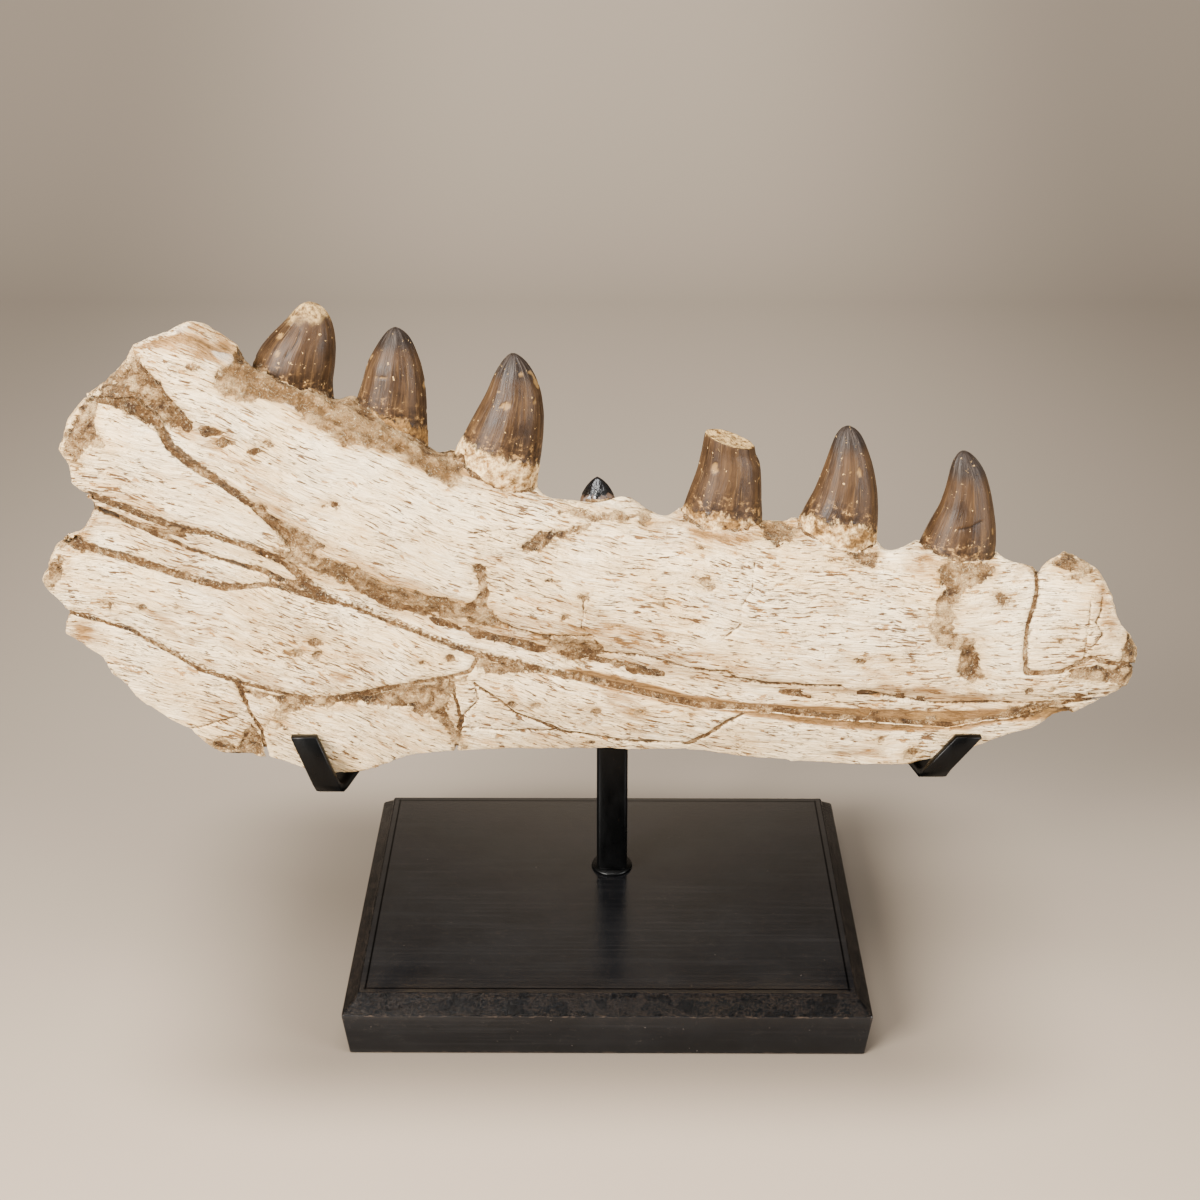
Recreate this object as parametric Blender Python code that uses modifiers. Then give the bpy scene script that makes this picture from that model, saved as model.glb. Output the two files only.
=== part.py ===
# A fossil mosasaur jaw on its display stand.
# The jaw lies along X with its tooth row up and its outer side facing -Y.
# The origin is the middle of the base's underside. Lengths are in metres, outlines in millimetres.

import bmesh
import bpy
import numpy as np
from mathutils import Vector

MM = 0.001

# Driving sizes: an eight by six inch base and a half inch square post
BASE_WIDTH = 0.2032
BASE_DEPTH = 0.1524
BASE_EDGE_HEIGHT = 0.018
BASE_FOOT_INSET = 0.0024
BEVEL_WIDTH = 0.0073
BEVEL_RISE = 0.0045
PANEL_STEP_WIDTH = 0.0010
PANEL_STEP_RISE = 0.0018
BASE_HEIGHT = BASE_EDGE_HEIGHT + BEVEL_RISE + PANEL_STEP_RISE

POST_SIZE = 0.0127
POST_X = 0.0019
POST_Y = 0.0164
POST_TOP = 0.142
POST_CORNER = 0.0016
COLLAR_RADIUS = 0.0086
COLLAR_HEIGHT = 0.0013

STRIP_THICKNESS = 0.0032
STRIP_WIDTH = 0.0100
CROSSBAR_BOTTOM = 0.1205
CROSSBAR_HEIGHT = 0.016

# Two touching pieces keep this much air between them
GAP = 0.0003

# The jaw's outlines are drawn on its middle plane. Its broken edges and its cracks fan out from one
# point in front of the jaw, so each lean back a little and none hides behind its own front edge.
JAW_MID_Y = -12.0
FAN_POINT = Vector((0.0, -652.0, 476.0))
FAN_FRONT_Y = -62.0
FAN_BACK_Y = 42.0

# The jaw's cross-section along its length, in millimetres: x, top, upper and lower edge of the long
# gutter on the outer side, bottom, how far forward the bottom edge lies, then how far the outer
# side, the gutter's edges, the gutter's floor, the lower bar and the inner side stand out from the
# middle plane
JAW_STATIONS = (
    (-226, 207, 200, 192, 165, 1, 9.0, 9.0, 9.0, 9.0, 8.0),
    (-214, 220, 205, 197, 150, 2, 14.0, 14.0, 14.0, 13.0, 12.0),
    (-205, 233, 211, 203, 144, 2, 18.0, 18.0, 18.0, 16.0, 15.0),
    (-195, 243, 218, 211, 133, 2, 21.0, 21.0, 21.0, 18.0, 17.0),
    (-180, 257, 214, 207, 114, 2, 23.5, 23.0, 22.5, 19.5, 18.0),
    (-168, 269, 210, 202, 104, 2.5, 24.5, 24.0, 23.5, 20.0, 18.5),
    (-152, 275, 206, 198, 96, 3, 25.0, 24.0, 23.5, 20.0, 18.5),
    (-145, 276, 204, 195, 96, 3, 25.0, 24.0, 23.0, 20.0, 18.5),
    (-133, 268, 198, 190, 95, 3.5, 25.0, 23.5, 22.5, 20.0, 18.5),
    (-118, 259, 192, 182, 90, 4, 25.0, 23.0, 20.5, 19.0, 18.5),
    (-105, 252, 187, 173, 88, 4, 25.0, 23.0, 18.5, 19.0, 18.5),
    (-92, 248, 183, 168.5, 91, 4, 25.0, 22.5, 17.5, 19.5, 18.5),
    (-77, 239, 176.5, 161.5, 97.5, 4, 25.0, 22.5, 17.0, 19.5, 18.5),
    (-60, 228, 169.5, 154.5, 99, 4, 24.5, 22.0, 16.5, 19.0, 18.0),
    (-40, 217, 164, 147.5, 100.5, 4, 24.5, 22.0, 16.0, 18.5, 18.0),
    (-22, 210, 159, 142.5, 100.5, 4, 24.0, 21.5, 15.5, 18.0, 18.0),
    (0, 208, 154.5, 137, 100.5, 3.5, 24.0, 21.0, 15.0, 17.5, 18.0),
    (15, 203.5, 149.5, 133, 100.5, 3.5, 23.5, 21.0, 14.5, 17.0, 17.5),
    (32, 200.5, 146, 128.5, 100, 4, 23.0, 20.5, 14.0, 16.5, 17.0),
    (52, 199.5, 142, 127, 96.8, 4, 22.5, 20.5, 13.0, 15.0, 17.0),
    (76, 196, 138.5, 124, 95, 4.5, 22.0, 20.0, 12.0, 13.0, 16.5),
    (97, 190.5, 137, 121.5, 93.8, 4.5, 21.5, 20.0, 11.0, 11.0, 16.0),
    (118, 189.5, 135, 120.5, 92.6, 5, 21.0, 19.5, 10.0, 8.0, 15.5),
    (135, 188, 133.5, 120, 97, 5, 20.5, 19.0, 9.5, 8.0, 15.0),
    (150, 184, 133, 123, 102, 4.5, 20.0, 18.5, 9.5, 8.5, 14.5),
    (161, 185, 132.5, 126.5, 106, 3, 19.5, 18.0, 10.0, 10.0, 14.0),
    (171, 188, 132.5, 129.5, 111, 2, 19.0, 17.5, 11.0, 11.0, 13.5),
    (182, 184, 133, 130.5, 114, 1, 17.0, 16.0, 12.0, 11.0, 12.5),
    (192, 173, 133.5, 131.5, 119, 1, 14.0, 14.0, 12.0, 11.0, 11.0),
    (203, 158, 134, 132.5, 124, 1, 10.0, 10.0, 9.0, 8.0, 8.0),
    (212, 146, 135, 134, 129, 0.5, 5.0, 5.0, 5.0, 5.0, 5.0),
)
STATION_STEP = 8.5
CREST_Y = -10.5

# Shares of the height, from the keel up, and how far out the side stands there
LOWER_BAR_SHAPE = ((0.04, 0.10), (0.12, 0.24), (0.24, 0.42), (0.45, 0.72), (0.72, 1.00))
UPPER_BODY_SHAPE = ((0.15, 0.96), (0.40, 1.00), (0.65, 0.97), (0.85, 0.82), (0.955, 0.55))
INNER_SIDE_SHAPE = (
    (0.965, 0.50), (0.88, 0.80), (0.72, 0.97), (0.50, 1.00), (0.30, 0.88), (0.14, 0.62), (0.045, 0.32),
)

# The jaw's edge, drawn clockwise in stretches between the long cracks: (x, z) in millimetres
TOP_EDGE = (
    (-179.5, 252), (-173, 257.5), (-169.5, 263.5), (-163, 267), (-154.5, 270), (-148, 273),
    (-142, 271.5), (-136, 267), (-131, 263.5), (-128.5, 258), (-124, 253.5), (-112, 249), (-97.5, 243.5),
    (-91, 245), (-87, 242), (-77, 234), (-65.5, 226), (-61.5, 223), (-57, 225), (-45, 216), (-28, 212),
    (-24.5, 207), (-22, 205), (-13.5, 204), (-4, 203), (4, 205.5), (8.5, 205), (13.5, 201), (19, 198),
    (22.5, 198), (27, 202), (40, 197), (58, 196.5), (66, 196), (70, 199), (84, 190), (99, 190), (102, 184.5),
    (106, 184), (112, 186.5), (115, 188.5), (130, 183), (144, 184.5), (148, 180.5), (157, 178),
)
TIP_EDGE = (
    (165, 180.5), (170, 184.5), (174.5, 183), (184.5, 176), (190, 166), (193.5, 156.5),
    (196.5, 152), (199.5, 149.5), (202, 144.5),
)
NOSE_EDGE = ((202.5, 135), (200.5, 128))
BAR_EDGE = (
    (188, 119.5), (181, 115.5), (175, 115), (170.5, 112), (165, 108), (157.5, 106), (148, 101.5), (135, 95.5),
    (117.5, 91), (99.5, 91), (76, 92.5), (52, 94.5), (28.5, 98), (-3, 97.5), (-34.5, 97.5),
)
REAR_KEEL_EDGE = ((-78, 94), (-90, 88.5), (-102, 85), (-114, 86), (-121.5, 89.5), (-127.5, 92.5))
CORNER_EDGE = (
    (-146.5, 94.5), (-152, 95.5), (-157.5, 99), (-164, 106.5), (-174.5, 113.5), (-183, 120.5), (-187, 127.5),
    (-191.5, 131), (-194, 138), (-202, 145), (-207.5, 148.5),
)
SPLENIAL_EDGE = ((-207, 162), (-212.5, 169), (-212.5, 172), (-207.5, 182))
STRIP_EDGE = ((-195, 192), (-193, 195.5), (-189.5, 202))
REAR_EDGE = ((-197, 210.5), (-197, 217.5), (-200, 223.5), (-198.5, 227.5), (-195.5, 236))

# The long cracks that part the jaw into its pieces
GUTTER_CRACK = (
    (-107, 163), (-97.5, 160.5), (-79, 152), (-60.5, 144), (-49.5, 139.5), (-41.5, 137.5), (-22.5, 132.5),
    (4.5, 125.5), (36, 117), (59.5, 116), (86.5, 112.5), (133.5, 109), (156.5, 113.5), (175.5, 119.5),
    (192, 122),
)
SPLIT_CRACK = ((-193, 206.5), (-177, 199.5), (-163, 193), (-148, 190), (-133.5, 184.5), (-121, 178))
LONG_CRACK_END = ((-121, 178), (-107, 163))
UPPER_CRACK = (
    (-188.5, 244), (-174, 241), (-163.5, 232.5), (-160.5, 225), (-154.5, 219), (-144.5, 211.5),
    (-132.5, 202), (-121, 191.5), (-117.5, 184.5), (-121, 178),
)
STRIP_CRACK = (
    (-203.5, 188.5), (-190, 183), (-172, 177), (-153.5, 170.5), (-144.5, 168), (-128, 169.5), (-116.5, 166.5),
    (-107, 163),
)
SPLENIAL_CRACK = (
    (-205, 158), (-182.5, 150.5), (-166, 139.5), (-157, 133), (-143.5, 128), (-119.5, 121), (-100, 121.5),
    (-80.5, 126), (-61, 130.5), (-53, 132.5), (-49.5, 139.5),
)
BAR_CRACK = ((-60, 96.5), (-57, 111), (-61, 130.5))
CORNER_CRACK = ((-134, 94), (-135.5, 106.5), (-139.5, 114.5), (-143.5, 128))
TIP_CRACK = (
    (160.5, 175), (161.5, 165.5), (159.5, 153), (159.5, 142.5), (161, 132), (174, 133), (185.5, 139.5),
    (191.5, 137), (202.5, 136),
)
CRACKS = (
    GUTTER_CRACK, SPLIT_CRACK, LONG_CRACK_END, UPPER_CRACK, STRIP_CRACK, SPLENIAL_CRACK, BAR_CRACK,
    CORNER_CRACK, TIP_CRACK,
)
# Behind the middle plane the cracks turn aside, so that no slit goes straight through the jaw
CRACK_TURN = Vector((0.004, 0.0, 0.005))


def between(line, first, last):
    """The stretch of a crack from one of its points to another, both included."""
    start = line.index(first)
    end = line.index(last)
    if start <= end:
        return line[start:end + 1]
    return line[end:start + 1][::-1]


GUTTER_START = (-107, 163)
SPLENIAL_TIP = (-49.5, 139.5)
GUTTER_END = (192, 122)

# Each bone piece's own outline, clockwise
BONE_OUTLINES = {
    "dentary": (
        UPPER_CRACK[::-1] + TOP_EDGE + TIP_CRACK + NOSE_EDGE + GUTTER_CRACK[::-1]
    ),
    "dentary_rear": REAR_EDGE + UPPER_CRACK + SPLIT_CRACK[::-1][1:],
    "dentary_tip": TIP_CRACK[:1] + TIP_EDGE + TIP_CRACK[::-1][:-1],
    "splenial_strip": (
        STRIP_CRACK[:1] + STRIP_EDGE + SPLIT_CRACK + LONG_CRACK_END[1:] + STRIP_CRACK[::-1][1:-1]
    ),
    "splenial": (
        SPLENIAL_CRACK[:1] + SPLENIAL_EDGE + STRIP_CRACK
        + between(GUTTER_CRACK, GUTTER_START, SPLENIAL_TIP)[1:] + SPLENIAL_CRACK[::-1][1:-1]
    ),
    "ventral_bar": (
        BAR_CRACK + ((-53, 132.5),) + between(GUTTER_CRACK, SPLENIAL_TIP, GUTTER_END) + BAR_EDGE
    ),
    "ventral_rear": (
        CORNER_CRACK + between(SPLENIAL_CRACK, (-143.5, 128), (-61, 130.5))[1:-1]
        + BAR_CRACK[::-1] + REAR_KEEL_EDGE
    ),
    "ventral_corner": (
        SPLENIAL_CRACK[:1] + between(SPLENIAL_CRACK, (-205, 158), (-143.5, 128))[1:-1]
        + CORNER_CRACK[::-1] + CORNER_EDGE
    ),
}

# Each tooth from its root up: (z, left side, right side) in millimetres
TOOTH_LEVELS = {
    "tooth_1": (
        (231, -124, -102), (240, -127.3, -99), (250, -127.8, -99.2), (257, -126.8, -97.8),
        (263, -123.5, -97.2), (268, -119.0, -97.4), (271.5, -115.0, -98.0), (275, -111.6, -99.3),
        (277.8, -109.0, -101.6), (279, -107.2, -104),
    ),
    "tooth_2": (
        (213, -88, -69), (224, -91.3, -65.7), (234, -91.7, -65.9), (243, -90.6, -65.8), (250, -88.0, -66.1),
        (257, -85.9, -67.3), (262, -83.0, -69.0), (265.5, -80.7, -70.4), (268.3, -78.6, -72.4),
        (269.8, -76.8, -74.6),
    ),
    "tooth_3": (
        (195, -52, -31), (206, -57, -26.8), (214, -58.3, -26.3), (222, -56.2, -24.8), (230, -52.2, -23.9),
        (238, -47.9, -23.6), (246, -43.5, -24.5), (252, -41, -26.5), (256.5, -38.3, -29.0),
        (259.3, -36.2, -31.6), (260.4, -34.9, -33.3),
    ),
    "tooth_4": (
        (195.5, -9.5, 1.5), (201, -10.8, 3.1), (204.5, -10.4, 2.6), (207.5, -9, 1.2), (209.8, -7.5, -0.3),
        (211.8, -5.8, -2.1), (212.7, -4.7, -3.3),
    ),
    "tooth_5": (
        (184, 31, 52), (190, 27.5, 56), (197.5, 26.8, 56.8), (204, 28.7, 56.2), (210, 30.7, 56),
        (216.5, 33.0, 55.5), (222, 34.5, 54.8), (226, 35.6, 53.9), (228.7, 37.2, 52.8),
    ),
    "tooth_6": (
        (172, 72, 95), (184, 69.5, 99.5), (195, 70.2, 99.6), (201.5, 72.8, 99.4), (208, 76, 98.7),
        (214, 78.1, 97.5), (220, 80, 95.8), (226, 81.8, 93.4), (229.8, 83.1, 91.5), (232.2, 84.7, 89.4),
        (232.9, 86, 88),
    ),
    "tooth_7": (
        (169, 117, 138), (179, 113.8, 143.7), (187, 116, 144.2), (194.5, 119, 143.4), (202, 122.5, 141.9),
        (209, 124.4, 140.1), (215, 125.4, 137.9), (219, 126.1, 135.4), (221.8, 127.4, 132.9),
        (223.3, 128.8, 130.9),
    ),
}
TOOTH_SIDES = 14
TOOTH_FLATNESS = 0.80
TOOTH_RECURVE = 2.5
BROKEN_TOOTH = "tooth_5"
BROKEN_TOP_LEVEL = 222
BROKEN_TOP_FALL = 0.31

# The hooks' paths: (x, y, z) of the strip's middle, from the front tab's end to the crossbar
LEFT_HOOK_PATH = (
    (-116.8, -24.7, 111.2), (-109.6, -24.7, 90.0), (-108.7, -23.9, 87.6), (-107.9, -22.1, 86.3),
    (-107.2, -19.7, 85.9), (-101.5, 2.4, 85.9), (-99.8, 6.2, 87.0), (-99.0, 8.2, 90.4),
    (-99.0, 8.2, 120.2),
)
RIGHT_HOOK_PATH = (
    (139.2, -22.0, 110.4), (128.2, -22.0, 95.8), (127.1, -21.2, 93.4), (126.4, -19.4, 92.1),
    (126.0, -17.0, 91.7), (120.6, 2.4, 91.7), (119.0, 6.2, 92.8), (118.4, 8.2, 96.2),
    (118.4, 8.2, 120.2),
)

PART_COLOURS = {
    "bone": ((0.76, 0.68, 0.56), 0.70, 0.0),
    "tooth": ((0.30, 0.19, 0.11), 0.35, 0.0),
    "black_tooth": ((0.02, 0.02, 0.02), 0.20, 0.0),
    "stand_paint": ((0.02, 0.02, 0.02), 0.45, 0.0),
    "base_paint": ((0.025, 0.023, 0.022), 0.50, 0.0),
}


def clear_scene():
    for old in list(bpy.data.objects):
        bpy.data.objects.remove(old, do_unlink=True)


def new_collection(name):
    collection = bpy.data.collections.new(name)
    bpy.context.scene.collection.children.link(collection)
    return collection


def make_materials():
    materials = {}
    for name, (colour, roughness, metallic) in PART_COLOURS.items():
        material = bpy.data.materials.new(name)
        material.use_nodes = True
        shader = material.node_tree.nodes["Principled BSDF"]
        shader.inputs["Base Color"].default_value = (*colour, 1.0)
        shader.inputs["Roughness"].default_value = roughness
        shader.inputs["Metallic"].default_value = metallic
        materials[name] = material
    return materials


def add_part(name, mesh, material, collection):
    part = bpy.data.objects.new(name, mesh)
    mesh.materials.clear()
    mesh.materials.append(material)
    collection.objects.link(part)
    return part


def mesh_from_bmesh(name, shape):
    bmesh.ops.recalc_face_normals(shape, faces=shape.faces)
    mesh = bpy.data.meshes.new(name)
    shape.to_mesh(mesh)
    shape.free()
    return mesh


def loft(name, rings):
    """A closed solid through rings that all have the same number of points."""
    shape = bmesh.new()
    rows = [[shape.verts.new(point) for point in ring] for ring in rings]
    for row, following in zip(rows, rows[1:]):
        for i in range(len(row)):
            j = (i + 1) % len(row)
            shape.faces.new((row[i], row[j], following[j], following[i]))
    shape.faces.new(rows[0])
    shape.faces.new(rows[-1])
    return mesh_from_bmesh(name, shape)


def fan_out(point, depth):
    """Carry an (x, z) point of the middle plane along its line from the fan point to another depth."""
    share = (depth - FAN_POINT.y) / (JAW_MID_Y - FAN_POINT.y)
    x = FAN_POINT.x + (point[0] - FAN_POINT.x) * share
    z = FAN_POINT.z + (point[1] - FAN_POINT.z) * share
    return Vector((x, depth, z)) * MM


def inset(outline, distance):
    """Move a clockwise outline inwards by a distance, keeping its corners."""
    points = [Vector(point) for point in outline]
    moved = []
    for i, point in enumerate(points):
        before = (point - points[i - 1]).normalized()
        after = (points[(i + 1) % len(points)] - point).normalized()
        inward_before = Vector((before.y, -before.x))
        inward_after = Vector((after.y, -after.x))
        spread = max(1.0 + inward_before.dot(inward_after), 0.35)
        moved.append(point + (inward_before + inward_after) * (distance / spread))
    return moved


def jaw_ring(x, top, gutter_top, gutter_bottom, keel, forward, outer, edge, floor, bar, inner):
    """One cross-section of the jaw, from the keel up the outer side and down the inner side."""
    keel_y = JAW_MID_Y - forward
    ring = [(keel_y, keel)]
    for share, out in LOWER_BAR_SHAPE:
        ring.append((keel_y - (bar - forward) * out, keel + (gutter_bottom - keel) * share))
    ring.append((JAW_MID_Y - 0.98 * bar, gutter_bottom))
    ring.append((JAW_MID_Y - floor, 0.5 * (gutter_bottom + gutter_top)))
    ring.append((JAW_MID_Y - edge, gutter_top))
    for share, out in UPPER_BODY_SHAPE:
        ring.append((JAW_MID_Y - outer * out, gutter_top + (top - gutter_top) * share))
    ring.append((CREST_Y, top))
    for share, out in INNER_SIDE_SHAPE:
        ring.append((JAW_MID_Y + inner * out, keel + (top - keel) * share))
    return [Vector((x, y, z)) * MM for y, z in ring]


def make_jaw_body():
    """The whole jaw before it broke, longer at both ends than what is left of it."""
    stations = np.array(JAW_STATIONS, dtype=float)
    length = stations[-1, 0] - stations[0, 0]
    count = int(round(length / STATION_STEP))
    rings = []
    for x in np.linspace(stations[0, 0], stations[-1, 0], count + 1):
        values = [np.interp(x, stations[:, 0], stations[:, column]) for column in range(1, 11)]
        rings.append(jaw_ring(x, *values))
    return loft("jaw_body", rings)


def make_region(name, outline):
    """The space that a bone piece may fill: its outline fanned out through the jaw's thickness."""
    crack_points = {point for crack in CRACKS for point in crack}
    drawn = inset(outline, 0.5 * GAP / MM)
    front = [fan_out(point, FAN_FRONT_Y) for point in drawn]
    middle = [fan_out(point, JAW_MID_Y) for point in drawn]
    back = [fan_out(point, FAN_BACK_Y) for point in drawn]
    for i, point in enumerate(outline):
        if point in crack_points:
            back[i] += CRACK_TURN
    return loft(name, [front, middle, back])


def tooth_ring(name, level, left, right, height, grow):
    """One level of a tooth: an oval that is flatter across the jaw than along it."""
    middle = 0.5 * (left + right)
    half = 0.5 * (right - left) + grow
    root = TOOTH_LEVELS[name][0][0]
    back = TOOTH_RECURVE * ((level - root) / height) ** 2
    fall = BROKEN_TOP_FALL if name == BROKEN_TOOTH and level > BROKEN_TOP_LEVEL else 0.0
    ring = []
    for angle in np.linspace(0.0, 2.0 * np.pi, TOOTH_SIDES, endpoint=False):
        along = half * np.cos(angle)
        across = half * TOOTH_FLATNESS * np.sin(angle)
        ring.append(Vector((middle + along, JAW_MID_Y + back + across, level - fall * along)) * MM)
    return ring


def make_tooth(name, grow=0.0):
    levels = TOOTH_LEVELS[name]
    height = levels[-1][0] - levels[0][0]
    rings = [tooth_ring(name, level, left, right, height, grow) for level, left, right in levels]
    if grow:
        lowest = [point - Vector((0.0, 0.0, grow * MM)) for point in rings[0]]
        rings = [lowest] + rings
    return loft(name, rings)


def largest_piece(mesh):
    """Keep only the largest closed surface of a mesh."""
    shape = bmesh.new()
    shape.from_mesh(mesh)
    bmesh.ops.remove_doubles(shape, verts=shape.verts, dist=1e-7)
    remaining = set(shape.verts)
    pieces = []
    while remaining:
        piece = set()
        front = [next(iter(remaining))]
        while front:
            vert = front.pop()
            if vert in piece:
                continue
            piece.add(vert)
            front.extend(edge.other_vert(vert) for edge in vert.link_edges)
        remaining -= piece
        pieces.append(piece)
    pieces.sort(key=len)
    for piece in pieces[:-1]:
        bmesh.ops.delete(shape, geom=list(piece), context="VERTS")
    shape.to_mesh(mesh)
    shape.free()
    return mesh


def cut_mesh(mesh, cuts, collection):
    """The mesh after Boolean cuts, each a pair of operation and cutter."""
    rough = bpy.data.objects.new(mesh.name + "_rough", mesh)
    collection.objects.link(rough)
    rough.hide_render = True
    rough.display_type = "WIRE"
    for operation, cutter in cuts:
        modifier = rough.modifiers.new(operation.lower(), "BOOLEAN")
        modifier.operation = operation
        modifier.object = cutter
    graph = bpy.context.evaluated_depsgraph_get()
    result = bpy.data.meshes.new_from_object(rough.evaluated_get(graph))
    bpy.data.objects.remove(rough, do_unlink=True)
    return largest_piece(result)


def make_cutter(name, mesh, collection):
    cutter = bpy.data.objects.new(name, mesh)
    cutter.hide_render = True
    cutter.display_type = "WIRE"
    collection.objects.link(cutter)
    return cutter


def make_bones(parts, cutters, materials):
    body = make_cutter("cut_body", make_jaw_body(), cutters)
    sockets = [
        make_cutter("cut_socket_" + name, make_tooth(name, GAP / MM), cutters) for name in TOOTH_LEVELS
    ]
    for name, outline in BONE_OUTLINES.items():
        cuts = [("INTERSECT", body)]
        if name == "dentary":
            cuts += [("DIFFERENCE", socket) for socket in sockets]
        mesh = cut_mesh(make_region(name, outline), cuts, cutters)
        mesh.set_sharp_from_angle(angle=0.6)
        add_part(name, mesh, materials["bone"], parts)


def make_teeth(parts, materials):
    for name in TOOTH_LEVELS:
        mesh = make_tooth(name)
        mesh.shade_smooth()
        mesh.set_sharp_from_angle(angle=0.8)
        material = materials["black_tooth"] if name == "tooth_4" else materials["tooth"]
        add_part(name, mesh, material, parts)


def add_bevel(part, width, segments, angle=0.6):
    bevel = part.modifiers.new("rounded edges", "BEVEL")
    bevel.width = width
    bevel.segments = segments
    bevel.limit_method = "ANGLE"
    bevel.angle_limit = angle
    return bevel


def make_base(parts, materials):
    """A painted wooden block with a sloped border and a slightly raised flat panel."""
    shape = bmesh.new()
    bmesh.ops.create_cube(shape, size=1.0)
    bmesh.ops.scale(shape, vec=(BASE_WIDTH, BASE_DEPTH, BASE_EDGE_HEIGHT), verts=shape.verts)
    bmesh.ops.translate(shape, vec=(0.0, 0.0, 0.5 * BASE_EDGE_HEIGHT), verts=shape.verts)
    for vert in shape.verts:
        if vert.co.z < 0.5 * BASE_EDGE_HEIGHT:
            vert.co.x *= 1.0 - 2.0 * BASE_FOOT_INSET / BASE_WIDTH
    shape.faces.ensure_lookup_table()
    panel = max(shape.faces, key=lambda face: face.calc_center_median().z)
    for width, rise in ((BEVEL_WIDTH, BEVEL_RISE), (PANEL_STEP_WIDTH, PANEL_STEP_RISE)):
        bmesh.ops.inset_region(shape, faces=[panel], thickness=width, depth=0.0)
        for vert in panel.verts:
            vert.co.z += rise
    base = add_part("stand_base", mesh_from_bmesh("stand_base", shape), materials["base_paint"], parts)
    add_bevel(base, 0.0007, 2, angle=0.35)


def make_collar(parts, materials):
    """The low round weld ring under the post."""
    shape = bmesh.new()
    bmesh.ops.create_cone(
        shape, cap_ends=True, segments=32, radius1=COLLAR_RADIUS, radius2=COLLAR_RADIUS - 0.0004,
        depth=COLLAR_HEIGHT - GAP,
    )
    collar = add_part("stand_collar", mesh_from_bmesh("stand_collar", shape), materials["stand_paint"], parts)
    collar.location = (POST_X, POST_Y, BASE_HEIGHT + GAP + 0.5 * (COLLAR_HEIGHT - GAP))


def make_box(name, size, centre, bevel, parts, material):
    shape = bmesh.new()
    bmesh.ops.create_cube(shape, size=1.0)
    bmesh.ops.scale(shape, vec=size, verts=shape.verts)
    box = add_part(name, mesh_from_bmesh(name, shape), material, parts)
    box.location = centre
    add_bevel(box, bevel, 2)


def make_post(parts, materials):
    foot = BASE_HEIGHT + COLLAR_HEIGHT + GAP
    size = (POST_SIZE, POST_SIZE, POST_TOP - foot)
    centre = (POST_X, POST_Y, 0.5 * (POST_TOP + foot))
    make_box("stand_post", size, centre, POST_CORNER, parts, materials["stand_paint"])


def make_crossbar(parts, materials):
    """The flat bar behind the jaw that carries both hooks, against the post's front."""
    left = LEFT_HOOK_PATH[-1][0] * MM - 0.5 * STRIP_WIDTH
    right = RIGHT_HOOK_PATH[-1][0] * MM + 0.5 * STRIP_WIDTH
    back = POST_Y - 0.5 * POST_SIZE - GAP
    size = (right - left, STRIP_THICKNESS, CROSSBAR_HEIGHT)
    middle = CROSSBAR_BOTTOM + 0.5 * CROSSBAR_HEIGHT
    centre = (0.5 * (left + right), back - 0.5 * STRIP_THICKNESS, middle)
    make_box("stand_crossbar", size, centre, 0.0004, parts, materials["stand_paint"])


def make_hook(name, path, parts, materials):
    """A flat strip bent under the jaw and up in front of it. Its bends lie square to the jaw, so the
    strip runs askew and its front tab leans outwards."""
    points = [Vector(point) * MM for point in path]
    half_width = Vector((0.5 * STRIP_WIDTH, 0.0, 0.0))
    rings = []
    for i, point in enumerate(points):
        before = points[max(i - 1, 0)]
        after = points[min(i + 1, len(points) - 1)]
        run = after - before
        run.x = 0.0
        run.normalize()
        half_thick = Vector((0.0, -run.z, run.y)) * (0.5 * STRIP_THICKNESS)
        rings.append([
            point - half_width - half_thick, point + half_width - half_thick,
            point + half_width + half_thick, point - half_width + half_thick,
        ])
    hook = add_part(name, loft(name, rings), materials["stand_paint"], parts)
    add_bevel(hook, 0.0003, 1, angle=1.2)


def main():
    clear_scene()
    parts = new_collection("mosasaur_jaw")
    cutters = new_collection("cutters")
    materials = make_materials()
    make_bones(parts, cutters, materials)
    make_teeth(parts, materials)
    make_base(parts, materials)
    make_collar(parts, materials)
    make_post(parts, materials)
    make_crossbar(parts, materials)
    make_hook("stand_hook_left", LEFT_HOOK_PATH, parts, materials)
    make_hook("stand_hook_right", RIGHT_HOOK_PATH, parts, materials)


main()
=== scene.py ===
# Looks of a fossil mosasaur jaw on its display stand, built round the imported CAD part.
# Lengths on the jaw are in millimetres until a mesh is written, and in metres after that.

import bmesh
import bpy
import numpy as np
from math import cos, pi, radians, sin
from mathutils import Matrix, Vector
from mathutils.kdtree import KDTree


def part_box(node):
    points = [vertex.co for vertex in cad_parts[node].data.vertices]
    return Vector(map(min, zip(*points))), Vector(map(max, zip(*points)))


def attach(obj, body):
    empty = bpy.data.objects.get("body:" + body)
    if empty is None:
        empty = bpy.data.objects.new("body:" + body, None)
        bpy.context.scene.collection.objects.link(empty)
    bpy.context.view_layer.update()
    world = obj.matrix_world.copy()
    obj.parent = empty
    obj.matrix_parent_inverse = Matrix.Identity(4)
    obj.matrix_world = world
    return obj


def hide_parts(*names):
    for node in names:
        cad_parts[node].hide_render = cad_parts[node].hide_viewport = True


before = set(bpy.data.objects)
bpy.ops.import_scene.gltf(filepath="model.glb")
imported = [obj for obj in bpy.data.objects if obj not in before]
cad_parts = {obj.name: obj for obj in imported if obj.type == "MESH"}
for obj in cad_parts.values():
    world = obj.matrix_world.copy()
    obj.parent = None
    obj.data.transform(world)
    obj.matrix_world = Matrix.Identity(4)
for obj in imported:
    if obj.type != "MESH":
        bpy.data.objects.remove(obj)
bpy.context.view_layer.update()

MM = 0.001
# How far away a crack or a patch counts where there is none, in millimetres
FAR_OFF = 9.0

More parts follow.
